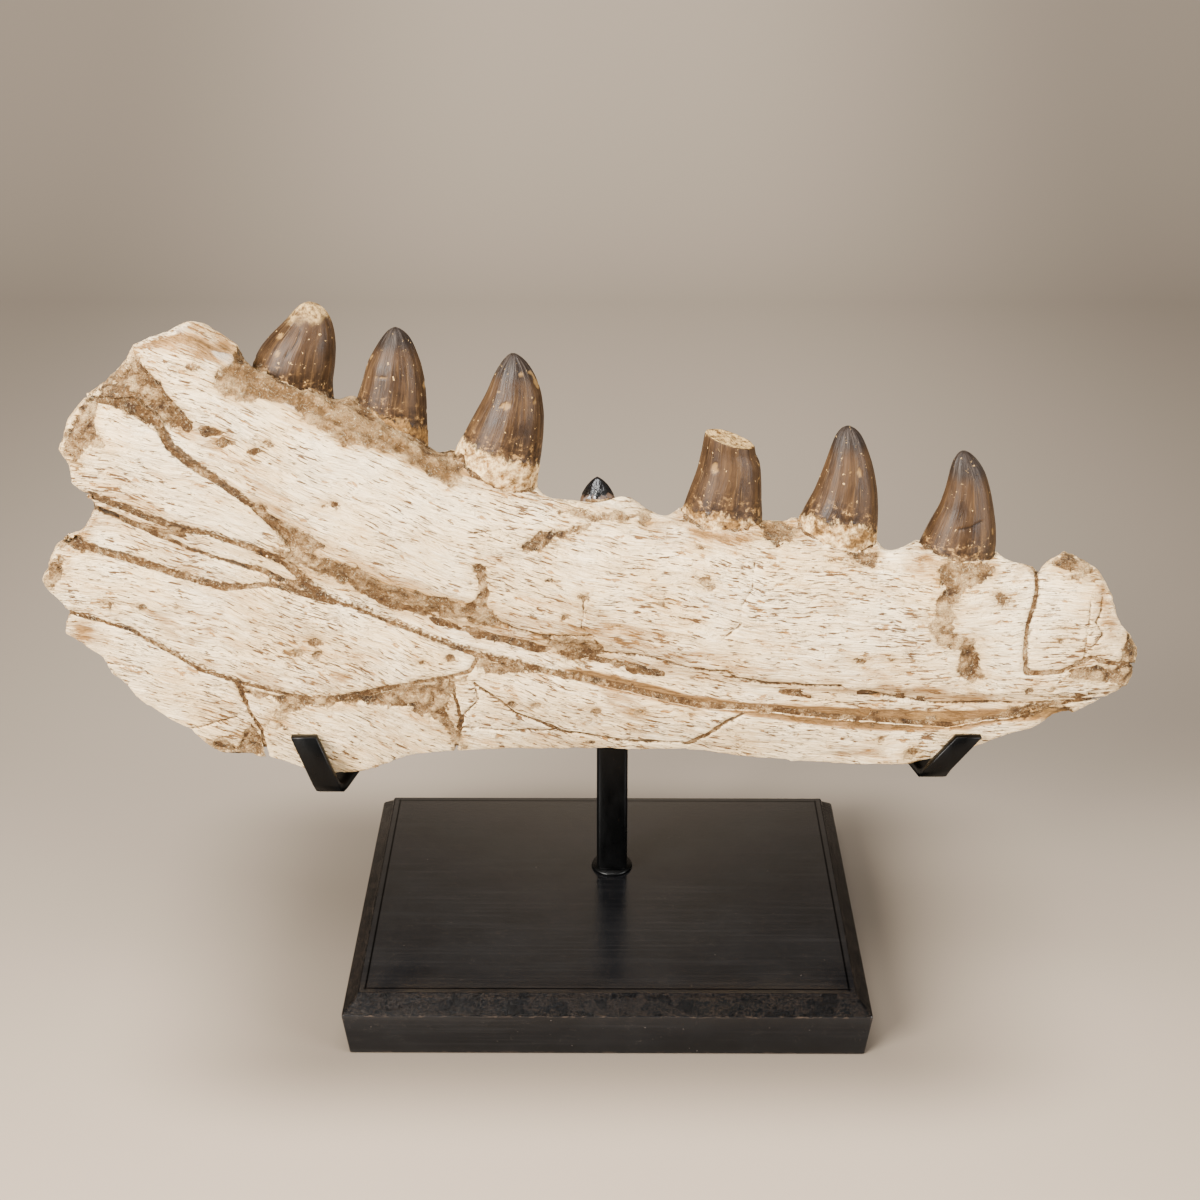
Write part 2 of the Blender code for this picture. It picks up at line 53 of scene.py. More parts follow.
# The photo's camera, which also places what was read off the photo
CAMERA_PLACE = (0.0, -652.1, 476.0)
CAMERA_TILT = 63.97
CAMERA_TURN = 0.268
CAMERA_LENS = 56.52
CAMERA_SENSOR = 36.0
PHOTO_SIZE = 1200
FOCAL_PIXELS = PHOTO_SIZE * CAMERA_LENS / CAMERA_SENSOR

# The jaw's features are drawn on its middle plane, which stands square to the view from the front
JAW_MID_Y = -12.0
FAN_POINT = np.array((0.0, -652.0, 476.0))

# Where the long gutter on the outer side runs: (x, z) of its middle, in millimetres
GUTTER_LINE = (
    (-215, 216), (-180, 210), (-145, 199), (-118, 187), (-92, 176), (-60, 162), (-22, 151), (15, 141),
    (52, 134), (97, 129), (150, 127), (205, 128),
)

# Photo pixels: the cracks that part the jaw's pieces, each with its width in millimetres, then the
# cracks within a piece. Their order is from the rear, at the left, to the tip.
PIECE_CRACKS = (
    (2.6, ((112, 402), (137, 408), (156, 430), (161, 445), (176, 460), (195, 471), (217, 482), (234, 496),
           (253, 506), (273, 518), (294, 530), (312, 546), (300, 562))),
    (2.0, ((86, 495), (118, 504), (149, 515), (176, 526), (195, 534), (224, 541), (248, 549), (273, 557),
           (285, 564), (302, 576))),
    (2.2, ((66, 543), (88, 550), (113, 559), (137, 566), (161, 572), (190, 581), (219, 586), (253, 587),
           (270, 583), (302, 590), (324, 597))),
    (1.1, ((302, 576), (326, 598), (355, 609), (400, 627), (438, 641), (474, 653), (515, 662), (553, 672),
           (591, 682), (642, 695), (680, 705), (719, 710), (747, 712), (800, 718))),
    (1.0, ((70, 614), (96, 623), (124, 632), (152, 645), (175, 660), (189, 671), (212, 684), (236, 689))),
    (1.0, ((135, 698), (180, 700), (220, 698), (236, 695))),
    (1.3, ((1027, 571), (1034, 587), (1035, 611), (1028, 635), (1023, 656), (1023, 673), (1037, 675),
           (1061, 670), (1082, 664), (1098, 669), (1117, 667))),
)
INNER_CRACKS = (
    (1.6, ((96, 509), (137, 526), (161, 537), (190, 549), (219, 559), (248, 567), (270, 575), (302, 586),
           (324, 596))),
    (0.7, ((497, 621), (515, 630), (540, 637), (563, 638), (591, 637), (604, 653), (630, 657), (655, 659),
           (688, 668), (724, 673), (739, 678), (770, 684), (811, 686), (841, 686))),
    (0.8, ((862, 692), (893, 698), (940, 703), (981, 702), (1016, 703), (1070, 703))),
    (0.5, ((780, 692), (811, 698), (841, 703), (870, 705))),
    (0.8, ((474, 685), (497, 700), (515, 714), (540, 722), (563, 732), (599, 737), (630, 741), (655, 742),
           (686, 746))),
    (1.1, ((686, 746), (706, 736), (726, 723), (747, 712))),
    (0.5, ((461, 728), (480, 729), (507, 731), (553, 731))),
    (0.5, ((474, 685), (478, 700), (463, 716), (458, 728))),
    (0.5, ((584, 598), (582, 619), (581, 630), (596, 639))),
    (0.5, ((107, 663), (138, 668), (152, 676))),
    (0.5, ((191, 730), (220, 722), (236, 717))),
    (0.4, ((1091, 602), (1089, 625), (1084, 663))),
    (0.5, ((1104, 598), (1103, 611), (1096, 623), (1103, 635), (1087, 653))),
    (0.9, ((995, 722), (1025, 719), (1042, 714))),
    (0.4, ((470, 534), (500, 529), (517, 541))),
    (0.4, ((755, 560), (752, 590), (742, 606), (741, 625), (722, 640))),
    (0.5, ((270, 575), (270, 585))),
)

# Photo pixels: outlines of the patches of brown sediment on the bone
SEDIMENT = (
    ((134, 352), (144, 368), (161, 387), (176, 406), (190, 420), (188, 434), (168, 430), (150, 424),
     (137, 417), (110, 405), (88, 398), (100, 382), (113, 368)),
    ((60, 455), (64, 435), (76, 413), (88, 396), (96, 402), (93, 426), (101, 440), (109, 450), (96, 446),
     (84, 451), (74, 463)),
    ((258, 512), (272, 516), (294, 528), (314, 540), (328, 548), (307, 554), (290, 552), (270, 529)),
    ((216, 372), (232, 362), (240, 345), (262, 330), (335, 352), (365, 372), (432, 400), (452, 425),
     (466, 452), (460, 476), (452, 486), (425, 470), (403, 457), (379, 450), (345, 444), (324, 433),
     (302, 420), (294, 408), (273, 401), (246, 402), (224, 396), (214, 388)),
    ((44, 585), (47, 569), (59, 555), (65, 561), (61, 576), (55, 588)),
    ((58, 547), (67, 535), (79, 536), (91, 547), (84, 552)),
    ((268, 545), (300, 551), (330, 559), (359, 569), (385, 583), (415, 592), (446, 600), (466, 605),
     (476, 600), (479, 585), (472, 570), (477, 562), (489, 567), (484, 578), (490, 593), (486, 606),
     (502, 624), (480, 626), (446, 618), (415, 612), (390, 605), (359, 590), (330, 578), (300, 569),
     (280, 560)),
    ((540, 529), (553, 531), (589, 524), (589, 528), (551, 542), (543, 552), (525, 555), (520, 547),
     (530, 539)),
    ((540, 638), (591, 638), (604, 653), (568, 663), (548, 645)),
    ((473, 655), (510, 662), (543, 670), (522, 674), (487, 674), (476, 667)),
    ((236, 685), (248, 688), (278, 696), (304, 696), (335, 696), (363, 691), (402, 685), (433, 679),
     (469, 675), (456, 685), (447, 713), (455, 724), (466, 748), (452, 746), (444, 724), (427, 716),
     (402, 708), (363, 705), (335, 704), (307, 708), (287, 715), (264, 725), (278, 707), (284, 702),
     (242, 694)),
    ((205, 741), (222, 738), (236, 749), (250, 724), (264, 741), (262, 756), (240, 760), (218, 752)),
    ((936, 564), (992, 560), (994, 576), (966, 590), (960, 601), (954, 608), (955, 622), (953, 632),
     (973, 640), (979, 656), (982, 668), (986, 676), (972, 688), (956, 674), (962, 653), (939, 645),
     (926, 626), (937, 612), (936, 600), (944, 590), (938, 580)),
    ((1129, 634), (1138, 638), (1138, 672), (1122, 688), (1108, 682), (1068, 678), (1068, 670), (1084, 667),
     (1119, 666), (1124, 649)),
    ((1049, 561), (1068, 549), (1076, 551), (1102, 572), (1085, 575), (1060, 568)),
    ((1004, 706), (1040, 704), (1072, 706), (1070, 713), (1040, 711), (1010, 717)),
    ((905, 752), (912, 749), (921, 753), (915, 760), (904, 759)),
    ((560, 512), (575, 505), (583, 512), (612, 512), (640, 515), (625, 523), (590, 520)),
    ((640, 510), (652, 512), (648, 527), (636, 522)),
    ((757, 522), (776, 520), (800, 528), (790, 540), (776, 548), (762, 538)),
    ((845, 552), (860, 548), (878, 556), (872, 568), (852, 562)),
)

# Photo pixels and a radius in millimetres: small brown pits and spots
PITS = (
    (139, 384, 2.2), (131, 405, 2.6), (150, 402, 1.4), (109, 606, 1.4), (142, 607, 1.3), (178, 607, 0.8),
    (203, 666, 0.9), (300, 653, 1.6), (314, 642, 2.0), (318, 655, 1.8), (421, 664, 1.6), (450, 657, 1.5),
    (1001, 597, 2.2), (1003, 602, 1.8), (700, 548, 1.0), (704, 581, 1.4), (712, 587, 1.5), (585, 599, 1.6),
    (586, 612, 0.9), (929, 720, 1.7), (913, 754, 2.0), (186, 574, 1.2), (262, 507, 1.6), (212, 432, 1.3),
    (222, 445, 1.2), (268, 444, 1.4), (252, 452, 1.6), (191, 366, 1.0), (334, 505, 1.7), (325, 508, 1.0),
    (662, 604, 0.8), (615, 627, 0.9), (566, 618, 1.1), (550, 582, 1.0), (830, 560, 0.9), (1060, 640, 0.9),
    (1076, 577, 1.5), (1053, 706, 1.4), (1066, 629, 1.0), (860, 662, 1.3), (905, 600, 1.0), (893, 662, 0.8),
    (1030, 692, 1.2), (1056, 690, 1.1), (590, 742, 0.8), (690, 716, 1.2), (640, 712, 0.8), (512, 705, 1.2),
    (535, 707, 1.4), (596, 712, 1.6), (430, 718, 1.0), (280, 727, 1.2), (253, 742, 1.3), (882, 740, 1.0),
)

# Photo pixels: the raised shell of bone that ends in a sharp edge above the rear hollow
SHELL_EDGE = ((133, 350), (144, 366), (161, 385), (176, 404), (189, 419), (205, 425))

# A strength, then photo pixels: tan stains on the bone
STAINS = (
    (0.95, ((216, 372), (232, 362), (240, 345), (262, 330), (335, 352), (365, 372), (432, 400), (452, 425),
            (466, 452), (452, 486), (403, 457), (345, 444), (302, 420), (273, 401), (224, 396))),
    (1.1, ((133, 348), (156, 336), (176, 331), (195, 318), (212, 318), (245, 340), (245, 362), (226, 366),
            (200, 361), (176, 352), (149, 347))),
    (0.60, ((440, 440), (470, 442), (505, 455), (545, 462), (560, 492), (545, 505), (510, 497), (470, 490),
            (449, 480))),
    (0.60, ((684, 505), (720, 512), (765, 518), (772, 535), (745, 545), (712, 545), (690, 535))),
    (0.55, ((800, 516), (840, 520), (880, 530), (884, 560), (850, 545), (810, 540), (790, 545))),
    (0.60, ((915, 545), (950, 556), (998, 560), (1010, 575), (960, 580), (925, 575))),
    (0.60, ((141, 606), (166, 612), (180, 640), (166, 634), (146, 622))),
    (0.60, ((186, 640), (205, 628), (222, 612), (212, 634), (192, 646))),
    (0.50, ((236, 668), (300, 676), (360, 672), (340, 688), (280, 690), (240, 680))),
    (0.60, ((96, 520), (60, 545), (66, 556), (90, 548))),
    (0.60, ((60, 618), (90, 626), (100, 645), (80, 642))),
    (0.45, ((600, 690), (640, 700), (650, 722), (612, 716))),
    (0.60, ((830, 745), (876, 746), (884, 756), (838, 758))),
    (0.60, ((1100, 575), (1112, 600), (1118, 640), (1108, 640), (1098, 610))),
    (0.50, ((836, 595), (850, 600), (846, 612), (832, 606))),
    (0.45, ((150, 380), (170, 392), (200, 428), (290, 500), (280, 520), (215, 470), (170, 430))),
    (0.45, ((560, 600), (640, 628), (720, 655), (840, 680), (990, 690), (990, 704), (840, 692), (700, 672),
            (560, 640))),
)
# Photo pixels: the edge of the bone that carries the teeth
CREST = (
    (240, 362), (262, 375), (330, 396), (400, 425), (452, 440), (470, 452), (545, 478), (580, 500),
    (620, 500), (690, 518), (760, 522), (800, 530), (880, 545), (915, 556), (1000, 562), (1025, 568),
    (1060, 548), (1100, 570), (1130, 610), (1138, 640),
)
# Photo pixels: the outline of the long gutter's undercut floor, towards the tip
GUTTER_FLOOR = (
    (560, 669), (591, 670), (640, 682), (690, 695), (740, 702), (800, 706), (870, 709), (940, 711),
    (1000, 709), (1060, 707), (1078, 713), (1042, 720), (1000, 723), (968, 730), (920, 732), (874, 732),
    (800, 723), (747, 715), (680, 707), (620, 692), (580, 681),
)
# Photo pixels: outlines of paler chips and plaster white spots
PALE = (
    ((170, 333), (178, 325), (190, 323), (184, 332)),
    ((210, 350), (222, 352), (239, 357), (230, 366), (218, 360)),
    ((489, 472), (500, 470), (508, 480), (502, 488), (490, 484)),
    ((505, 462), (524, 460), (534, 478), (520, 484), (510, 476)),
    ((255, 372), (300, 392), (340, 425), (320, 425), (270, 398), (235, 385)),
)


def camera_axes():
    """The camera's right, up and forward directions."""
    turn = Matrix.Rotation(radians(CAMERA_TURN), 3, "Z") @ Matrix.Rotation(radians(CAMERA_TILT), 3, "X")
    right = np.array(turn @ Vector((1, 0, 0)))
    up = np.array(turn @ Vector((0, 1, 0)))
    forward = np.array(turn @ Vector((0, 0, -1)))
    return right, up, forward


def on_jaw(pixels):
    """Photo pixels as (x, z) in millimetres on the jaw's middle plane."""
    right, up, forward = camera_axes()
    across, down = (np.array(pixels, float).T - 0.5 * PHOTO_SIZE) / FOCAL_PIXELS
    rays = forward + across[:, None] * right - down[:, None] * up
    reach = (JAW_MID_Y - CAMERA_PLACE[1]) / rays[:, 1]
    hits = np.array(CAMERA_PLACE) + reach[:, None] * rays
    return hits[:, [0, 2]]


def to_plane(points):
    """Where each point of the jaw is seen on its middle plane."""
    share = (JAW_MID_Y - FAN_POINT[1]) / (points[:, 1] - FAN_POINT[1])
    x = FAN_POINT[0] + (points[:, 0] - FAN_POINT[0]) * share
    z = FAN_POINT[2] + (points[:, 2] - FAN_POINT[2]) * share
    return np.stack([x, z], 1)


def smooth_step(low, high, value):
    t = np.clip((value - low) / (high - low), 0.0, 1.0)
    return t * t * (3.0 - 2.0 * t)


LATTICE = np.random.default_rng(11).uniform(-1.0, 1.0, (61, 61, 61))


def noise(points, size, seed=0):
    """Soft random values from -1 to 1 that change over about that size in millimetres."""
    place = points / np.array(size, float) + 7.31 * (seed + 1) + 400.0
    cell = np.floor(place).astype(int)
    part = place - cell
    part = part * part * (3.0 - 2.0 * part)
    total = np.zeros(len(points))
    for corner in np.ndindex(2, 2, 2):
        weight = np.ones(len(points))
        for axis in range(3):
            weight *= part[:, axis] if corner[axis] else 1.0 - part[:, axis]
        index = (cell + corner) % 61
        total += weight * LATTICE[index[:, 0], index[:, 1], index[:, 2]]
    return total


def rough(points, size, seed=0):
    """Three layers of noise, each half the size and half as strong as the one before."""
    total = noise(points, size, seed)
    total += 0.5 * noise(points, 0.5 * np.array(size, float), seed + 1)
    total += 0.25 * noise(points, 0.25 * np.array(size, float), seed + 2)
    return total / 1.75


def line_distance(places, line):
    """Distance from each place to a line of points, and the side it lies on: above or below."""
    nearest = np.full(len(places), 1e6)
    side = np.ones(len(places))
    for start, end in zip(line[:-1], line[1:]):
        run = end - start
        share = np.clip(((places - start) @ run) / (run @ run), 0.0, 1.0)
        offset = places - start - share[:, None] * run
        distance = np.hypot(offset[:, 0], offset[:, 1])
        closer = distance < nearest
        nearest = np.where(closer, distance, nearest)
        turn = run[0] * offset[:, 1] - run[1] * offset[:, 0]
        side = np.where(closer, np.sign(turn), side)
    return nearest, side


def patch_depth(places, outline):
    """How far each place lies inside an outline, below zero outside."""
    closed = np.vstack([outline, outline[:1]])
    distance, _ = line_distance(places, closed)
    inside = np.zeros(len(places), bool)
    x, z = places.T
    for (x0, z0), (x1, z1) in zip(closed[:-1], closed[1:]):
        if z0 == z1:
            continue
        crosses = (z0 > z) != (z1 > z)
        inside ^= crosses & (x < (x1 - x0) * (z - z0) / (z1 - z0) + x0)
    return np.where(inside, distance, -distance)


def gutter_height(places):
    """How far above the long gutter each place on the middle plane lies."""
    line = np.array(GUTTER_LINE, float)
    return places[:, 1] - np.interp(places[:, 0], line[:, 0], line[:, 1])


def grain_place(points):
    """Places in the bone's own grain: along the fibres, across them and through the jaw."""
    plane = to_plane(points)
    across = gutter_height(plane)
    rear = smooth_step(40.0, -160.0, plane[:, 0])
    across += 0.10 * rear * np.clip(across, 0.0, 80.0) * plane[:, 0] / 200.0
    flat = np.stack([plane[:, 0], plane[:, 1], np.zeros(len(plane))], 1)
    waves = 2.6 * noise(flat, 34.0, 90) + 0.9 * noise(flat, 11.0, 91) + 0.35 * noise(flat, 4.5, 92)
    return np.stack([plane[:, 0] + 0.30 * across * rear, across + waves, points[:, 1]], 1)


def add_object(name, data):
    thing = bpy.data.objects.new(name, data)
    bpy.context.scene.collection.objects.link(thing)
    return thing


def mesh_of(shape, name):
    """A smooth shaded mesh from a finished bmesh."""
    mesh = bpy.data.meshes.new(name)
    shape.to_mesh(mesh)
    shape.free()
    mesh.shade_smooth()
    return mesh


def mesh_parts(mesh):
    """A mesh's vertices in millimetres, and its edges."""
    flat = np.zeros(3 * len(mesh.vertices))
    mesh.vertices.foreach_get("co", flat)
    edges = np.zeros(2 * len(mesh.edges), int)
    mesh.edges.foreach_get("vertices", edges)
    return flat.reshape(-1, 3) / MM, edges.reshape(-1, 2)


class Surface:
    """A fine copy of a CAD node's surface, in millimetres, that can be smoothed, carved and saved."""

    def __init__(self, name, cell):
        self.name = name
        source = add_object("source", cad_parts[name].data.copy())
        remesh = source.modifiers.new("even cells", "REMESH")
        remesh.mode = "VOXEL"
        remesh.voxel_size = cell * MM
        graph = bpy.context.evaluated_depsgraph_get()
        self.mesh = bpy.data.meshes.new_from_object(source.evaluated_get(graph))
        bpy.data.objects.remove(source)
        self.points, self.edges = mesh_parts(self.mesh)
        self.smooth(5)
        self.refine()
        self.smooth(2)

    def write(self):
        self.mesh.vertices.foreach_set("co", (self.points * MM).ravel())
        self.mesh.update()

    def normals(self):
        self.write()
        flat = np.zeros(3 * len(self.mesh.vertices))
        self.mesh.vertex_normals.foreach_get("vector", flat)
        return flat.reshape(-1, 3)

    def smooth(self, rounds):
        """Even out the surface without shrinking it."""
        a, b = self.edges.T
        count = len(self.points)
        links = np.bincount(a, minlength=count) + np.bincount(b, minlength=count)
        for i in range(2 * rounds):
            share = 0.5 if i % 2 == 0 else -0.52
            middle = np.stack([
                np.bincount(a, self.points[b, axis], count) + np.bincount(b, self.points[a, axis], count)
                for axis in range(3)
            ], 1) / links[:, None]
            self.points += share * (middle - self.points)

    def refine(self):
        """Give the outer side, which faces the viewer, cells of half the size."""
        self.write()
        shape = bmesh.new()
        shape.from_mesh(self.mesh)
        shape.normal_update()
        front = {edge for face in shape.faces if face.normal.y < -0.12 for edge in face.edges}
        bmesh.ops.subdivide_edges(shape, edges=list(front), cuts=1, use_grid_fill=True)
        shape.to_mesh(self.mesh)
        shape.free()
        self.points, self.edges = mesh_parts(self.mesh)


# How a coat of colour comes up over its range
LINEAR = "LINEAR"
SMOOTH = "SMOOTHSTEP"


def hex_colour(code):
    """An sRGB colour such as #A98C66 as linear red, green, blue and alpha."""
    parts = [int(code[i:i + 2], 16) / 255.0 for i in (1, 3, 5)]
    return tuple(c / 12.92 if c <= 0.04045 else ((c + 0.055) / 1.055) ** 2.4 for c in parts) + (1.0,)


def feed(tree, node, inputs):
    """Give a node's inputs values or other nodes' outputs."""
    for socket, value in inputs.items():
        if isinstance(value, bpy.types.NodeSocket):
            tree.links.new(value, node.inputs[socket])
        else:
            node.inputs[socket].default_value = value


def add(tree, kind, inputs=(), out=0, **settings):
    """Add a shader node with its settings and links, and give back one of its outputs. The inputs come by
    name or in the node's own order."""
    node = tree.nodes.new("ShaderNode" + kind)
    for name, value in settings.items():
        setattr(node, name, value)
    feed(tree, node, inputs if isinstance(inputs, dict) else dict(enumerate(inputs)))
    return node.outputs[out]


def new_material(name):
    material = bpy.data.materials.new(name)
    material.use_nodes = True
    return material, material.node_tree, material.node_tree.nodes["Principled BSDF"]


def cloud(tree, place, size, detail=3.0, roughness=0.55, distortion=0.0):
    """Noise from 0 to 1 whose patches have that size in millimetres, the same or another on each axis."""
    sizes = size if isinstance(size, tuple) else (size, size, size)
    scaled = add(tree, "VectorMath", (place, tuple(1.0 / s for s in sizes)), operation="MULTIPLY")
    return add(tree, "TexNoise", {
        "Vector": scaled, "Scale": 1.0, "Detail": detail, "Roughness": roughness, "Distortion": distortion,
    })


def near_level(tree, value, level, reach):
    """1 at a level, falling to 0 at some distance from it."""
    past = add(tree, "Math", (value, level), operation="SUBTRACT")
    away = add(tree, "Math", (past,), operation="ABSOLUTE")
    return add(tree, "MapRange", (away, 0.0, reach, 1.0, 0.0), interpolation_type=SMOOTH)


def paint(tree, colour, coats):
    """Lay coats over a colour. Each has its value, the range over which it comes up and in what way, its
    full share and its own colour."""
    shown = hex_colour(colour) if isinstance(colour, str) else colour
    for value, low, high, ramp, share, coat in coats:
        cover = add(tree, "MapRange", (value, low, high, 0.0, share), interpolation_type=ramp)
        shown = add(tree, "MixRGB", (cover, shown, hex_colour(coat) if isinstance(coat, str) else coat))
    return shown


def add_up(tree, terms):
    """The sum of some values, each times its own strength."""
    total = 0.0
    for value, strength in terms:
        total = add(tree, "Math", (value, strength, total), operation="MULTIPLY_ADD")
    return total


def dress(tree, shader, colour, roughness, shine, relief):
    """Give a surface its colour, roughness, shine and relief in millimetres."""
    bump = add(tree, "Bump", {"Height": relief, "Distance": MM})
    feed(tree, shader, {
        "Base Color": colour, "Roughness": roughness, "Specular IOR Level": shine, "Normal": bump,
    })


def make_bone_material():
    """Dry mineralised bone. Fibres and small holes follow the jaw, sediment fills hollows and cracks."""
    material, tree, shader = new_material("mineralised bone")
    grain, place = [add(tree, "Attribute", out="Vector", attribute_name=name) for name in ("grain", "place")]
    sediment, crack, stain_and_shade, pale, lump = [
        add(tree, "Attribute", out="Fac", attribute_name=name)
        for name in ("sediment", "crack", "stain_and_shade", "pale", "lump")
    ]

    # Fine fibres drawn out along the jaw, in bundles
    fibres = cloud(tree, grain, (11.0, 0.62, 3.0), 5.0, 0.66, 0.35)
    bundles = add(tree, "MapRange", (cloud(tree, grain, (30.0, 12.0, 30.0)), 0.35, 0.65, 0.252, 0.72))
    # Short brown slots where the fibres have opened, thick in some regions and thin in others
    region = cloud(tree, place, 22.0, 4.0, 0.6)
    gate = add(tree, "MapRange", (region, 0.36, 0.62, 0.050, -0.045))
    slot_share = 0.0
    for size, roughness, low, high in (
        ((5.0, 0.85, 2.6), 0.55, 0.600, 0.632), ((10.0, 1.5, 5.0), 0.60, 0.665, 0.700),
    ):
        slots = add(tree, "Math", (cloud(tree, grain, size, 3.0, roughness), gate), operation="SUBTRACT")
        opened = add(tree, "MapRange", (slots, low, high), interpolation_type=SMOOTH)
        slot_share = add(tree, "Math", (opened, slot_share), operation="MAXIMUM")
    # Rust coloured flecks, larger and rarer than the slots
    flecks = cloud(tree, grain, (6.0, 2.2, 4.0), 4.0, 0.65)
    fleck_share = add(tree, "MapRange", (flecks, 0.605, 0.65, 0.0, 0.85), interpolation_type=SMOOTH)
    # Hairline edges where thin scales of the surface have lifted
    scales = cloud(tree, grain, (11.0, 5.0, 8.0), 5.0, 0.68, 0.5)
    scale_edge = add(tree, "Math", (
        near_level(tree, scales, 0.50, 0.007), add(tree, "MapRange", (region, 0.42, 0.58)),
    ), operation="MULTIPLY")
    # Stains of soaked hollows, the tooth row's edge and the broken hump, and painted shade in the long
    # gutter, darkest on its undercut floor
    varied_stain_and_shade = add_up(tree, ((stain_and_shade, 1.0), (add(tree, "MapRange", (fibres, 0.3, 0.7, -0.18, 0.18)), 1.0)))
    colour = paint(tree, "#FEE5B8", (
        (cloud(tree, place, 24.0, 4.0), 0.35, 0.65, LINEAR, 1.0, "#F2CF99"),
        (cloud(tree, grain, (16.0, 5.0, 14.0), 6.0, 0.66), 0.52, 0.70, LINEAR, 0.65, "#C79556"),
        (fibres, 0.50, 0.66, LINEAR, bundles, "#916535"),
        (fibres, 0.46, 0.32, LINEAR, 0.6, "#FFEFCF"),
        (slot_share, 0.0, 1.0, LINEAR, 0.95, "#5C3B1C"),
        (fleck_share, 0.0, 1.0, LINEAR, 1.0, "#A37339"),
        (scale_edge, 0.0, 1.0, LINEAR, 0.5, "#8F6534"),
        # Tan stains and painted shade; the darker second coat lies mostly on the gutter's undercut floor as
        # painted shade
        (varied_stain_and_shade, 0.05, 0.9, LINEAR, 0.9, "#8E6330"),
        (varied_stain_and_shade, 0.95, 1.25, LINEAR, 0.7, "#5E4221"),
        (pale, 0.0, 1.0, LINEAR, 0.35, "#FFF3DC"),
    ))

    # Sediment with a ragged edge, dark in its hollows and sandy on its lumps
    edge = add(tree, "MapRange", (cloud(tree, place, 4.0, 5.0, 0.68), 0.25, 0.75, -2.2, 2.2))
    depth = add(tree, "Math", (sediment, edge), operation="ADD")
    sediment_share = add(tree, "MapRange", (depth, -0.25, 0.55), interpolation_type=SMOOTH)
    mottle = add(tree, "MapRange", (cloud(tree, place, 3.2, 5.0, 0.72), 0.30, 0.70, -0.45, 0.45))
    height = add(tree, "Math", (lump, mottle), operation="ADD")
    sand = cloud(tree, place, 0.8, 3.0, 0.7)
    # Pale curled scraps of shell and bone lie in it
    scrap = add(tree, "Math", (
        near_level(tree, cloud(tree, place, 5.0, 3.0, 0.6, 1.4), 0.50, 0.014),
        add(tree, "MapRange", (sand, 0.40, 0.52)),
    ), operation="MULTIPLY")
    mud = paint(tree, "#3C2917", (
        (height, -0.70, 0.0, LINEAR, 1.0, "#7F5F3A"),
        (height, -0.10, 0.60, LINEAR, 1.0, "#C2A070"),
        (sand, 0.57, 0.74, LINEAR, 0.45, "#E6CFA6"),
        (sand, 0.44, 0.30, LINEAR, 0.6, "#33220F"),
        # The stains and the gutter's painted shade also darken the sediment
        (stain_and_shade, 0.0, 2.0, LINEAR, 1.0, "#6A4A24"),
        (scrap, 0.0, 1.0, LINEAR, 0.65, "#E9D2A6"),
    ))

    # Cracks: brown fill, darkest in the middle
    waver = add(tree, "MapRange", (cloud(tree, place, 1.6, 3.0, 0.6), 0.25, 0.75, -0.4, 0.4))
    gap = add(tree, "Math", (crack, waver), operation="ADD")
    fill_share = add(tree, "MapRange", (gap, 0.25, -0.25), interpolation_type=SMOOTH)
    fill_colour = paint(tree, "#6B4A26", ((gap, 0.1, -0.7, LINEAR, 1.0, "#24160A"),))
    colour = paint(tree, colour, (
        (depth, -4.0, 0.4, LINEAR, 0.5, "#BC9256"),
        (sediment_share, 0.0, 1.0, LINEAR, 1.0, mud),
        (fill_share, 0.0, 1.0, LINEAR, 0.95, fill_colour),
    ))

    # Relief: fibres, open slots, lifted scales and gritty sediment
    both = add(tree, "Math", (sediment_share, fill_share), operation="MAXIMUM")
    lifted = add(tree, "MapRange", (scales, 0.44, 0.50), interpolation_type=SMOOTH)
    grit = add_up(tree, ((sand, 0.9), (mottle, 1.1), (scrap, 0.35)))
    relief = add_up(tree, (
        (fibres, -1.35), (slot_share, -0.8), (fleck_share, -0.30), (scale_edge, -0.25), (lifted, 0.30),
        (cloud(tree, place, 0.6, 3.0, 0.7), 0.14), (grit, both),
    ))
    dress(tree, shader, colour, add(tree, "MapRange", (both, 0.0, 1.0, 0.70, 0.90)), 0.20, relief)
    return material


BONE_CELLS = {
    "dentary": 1.4, "dentary_rear": 1.1, "dentary_tip": 1.0, "splenial_strip": 1.1, "splenial": 1.1,
    "ventral_bar": 1.1, "ventral_rear": 1.1, "ventral_corner": 1.0,
}


def deepest(places, outlines):
    """How far each place lies inside the nearest of several outlines in photo pixels."""
    depth = np.full(len(places), -FAR_OFF)
    for outline in outlines:
        depth = np.maximum(depth, patch_depth(places, on_jaw(outline)))
    return depth


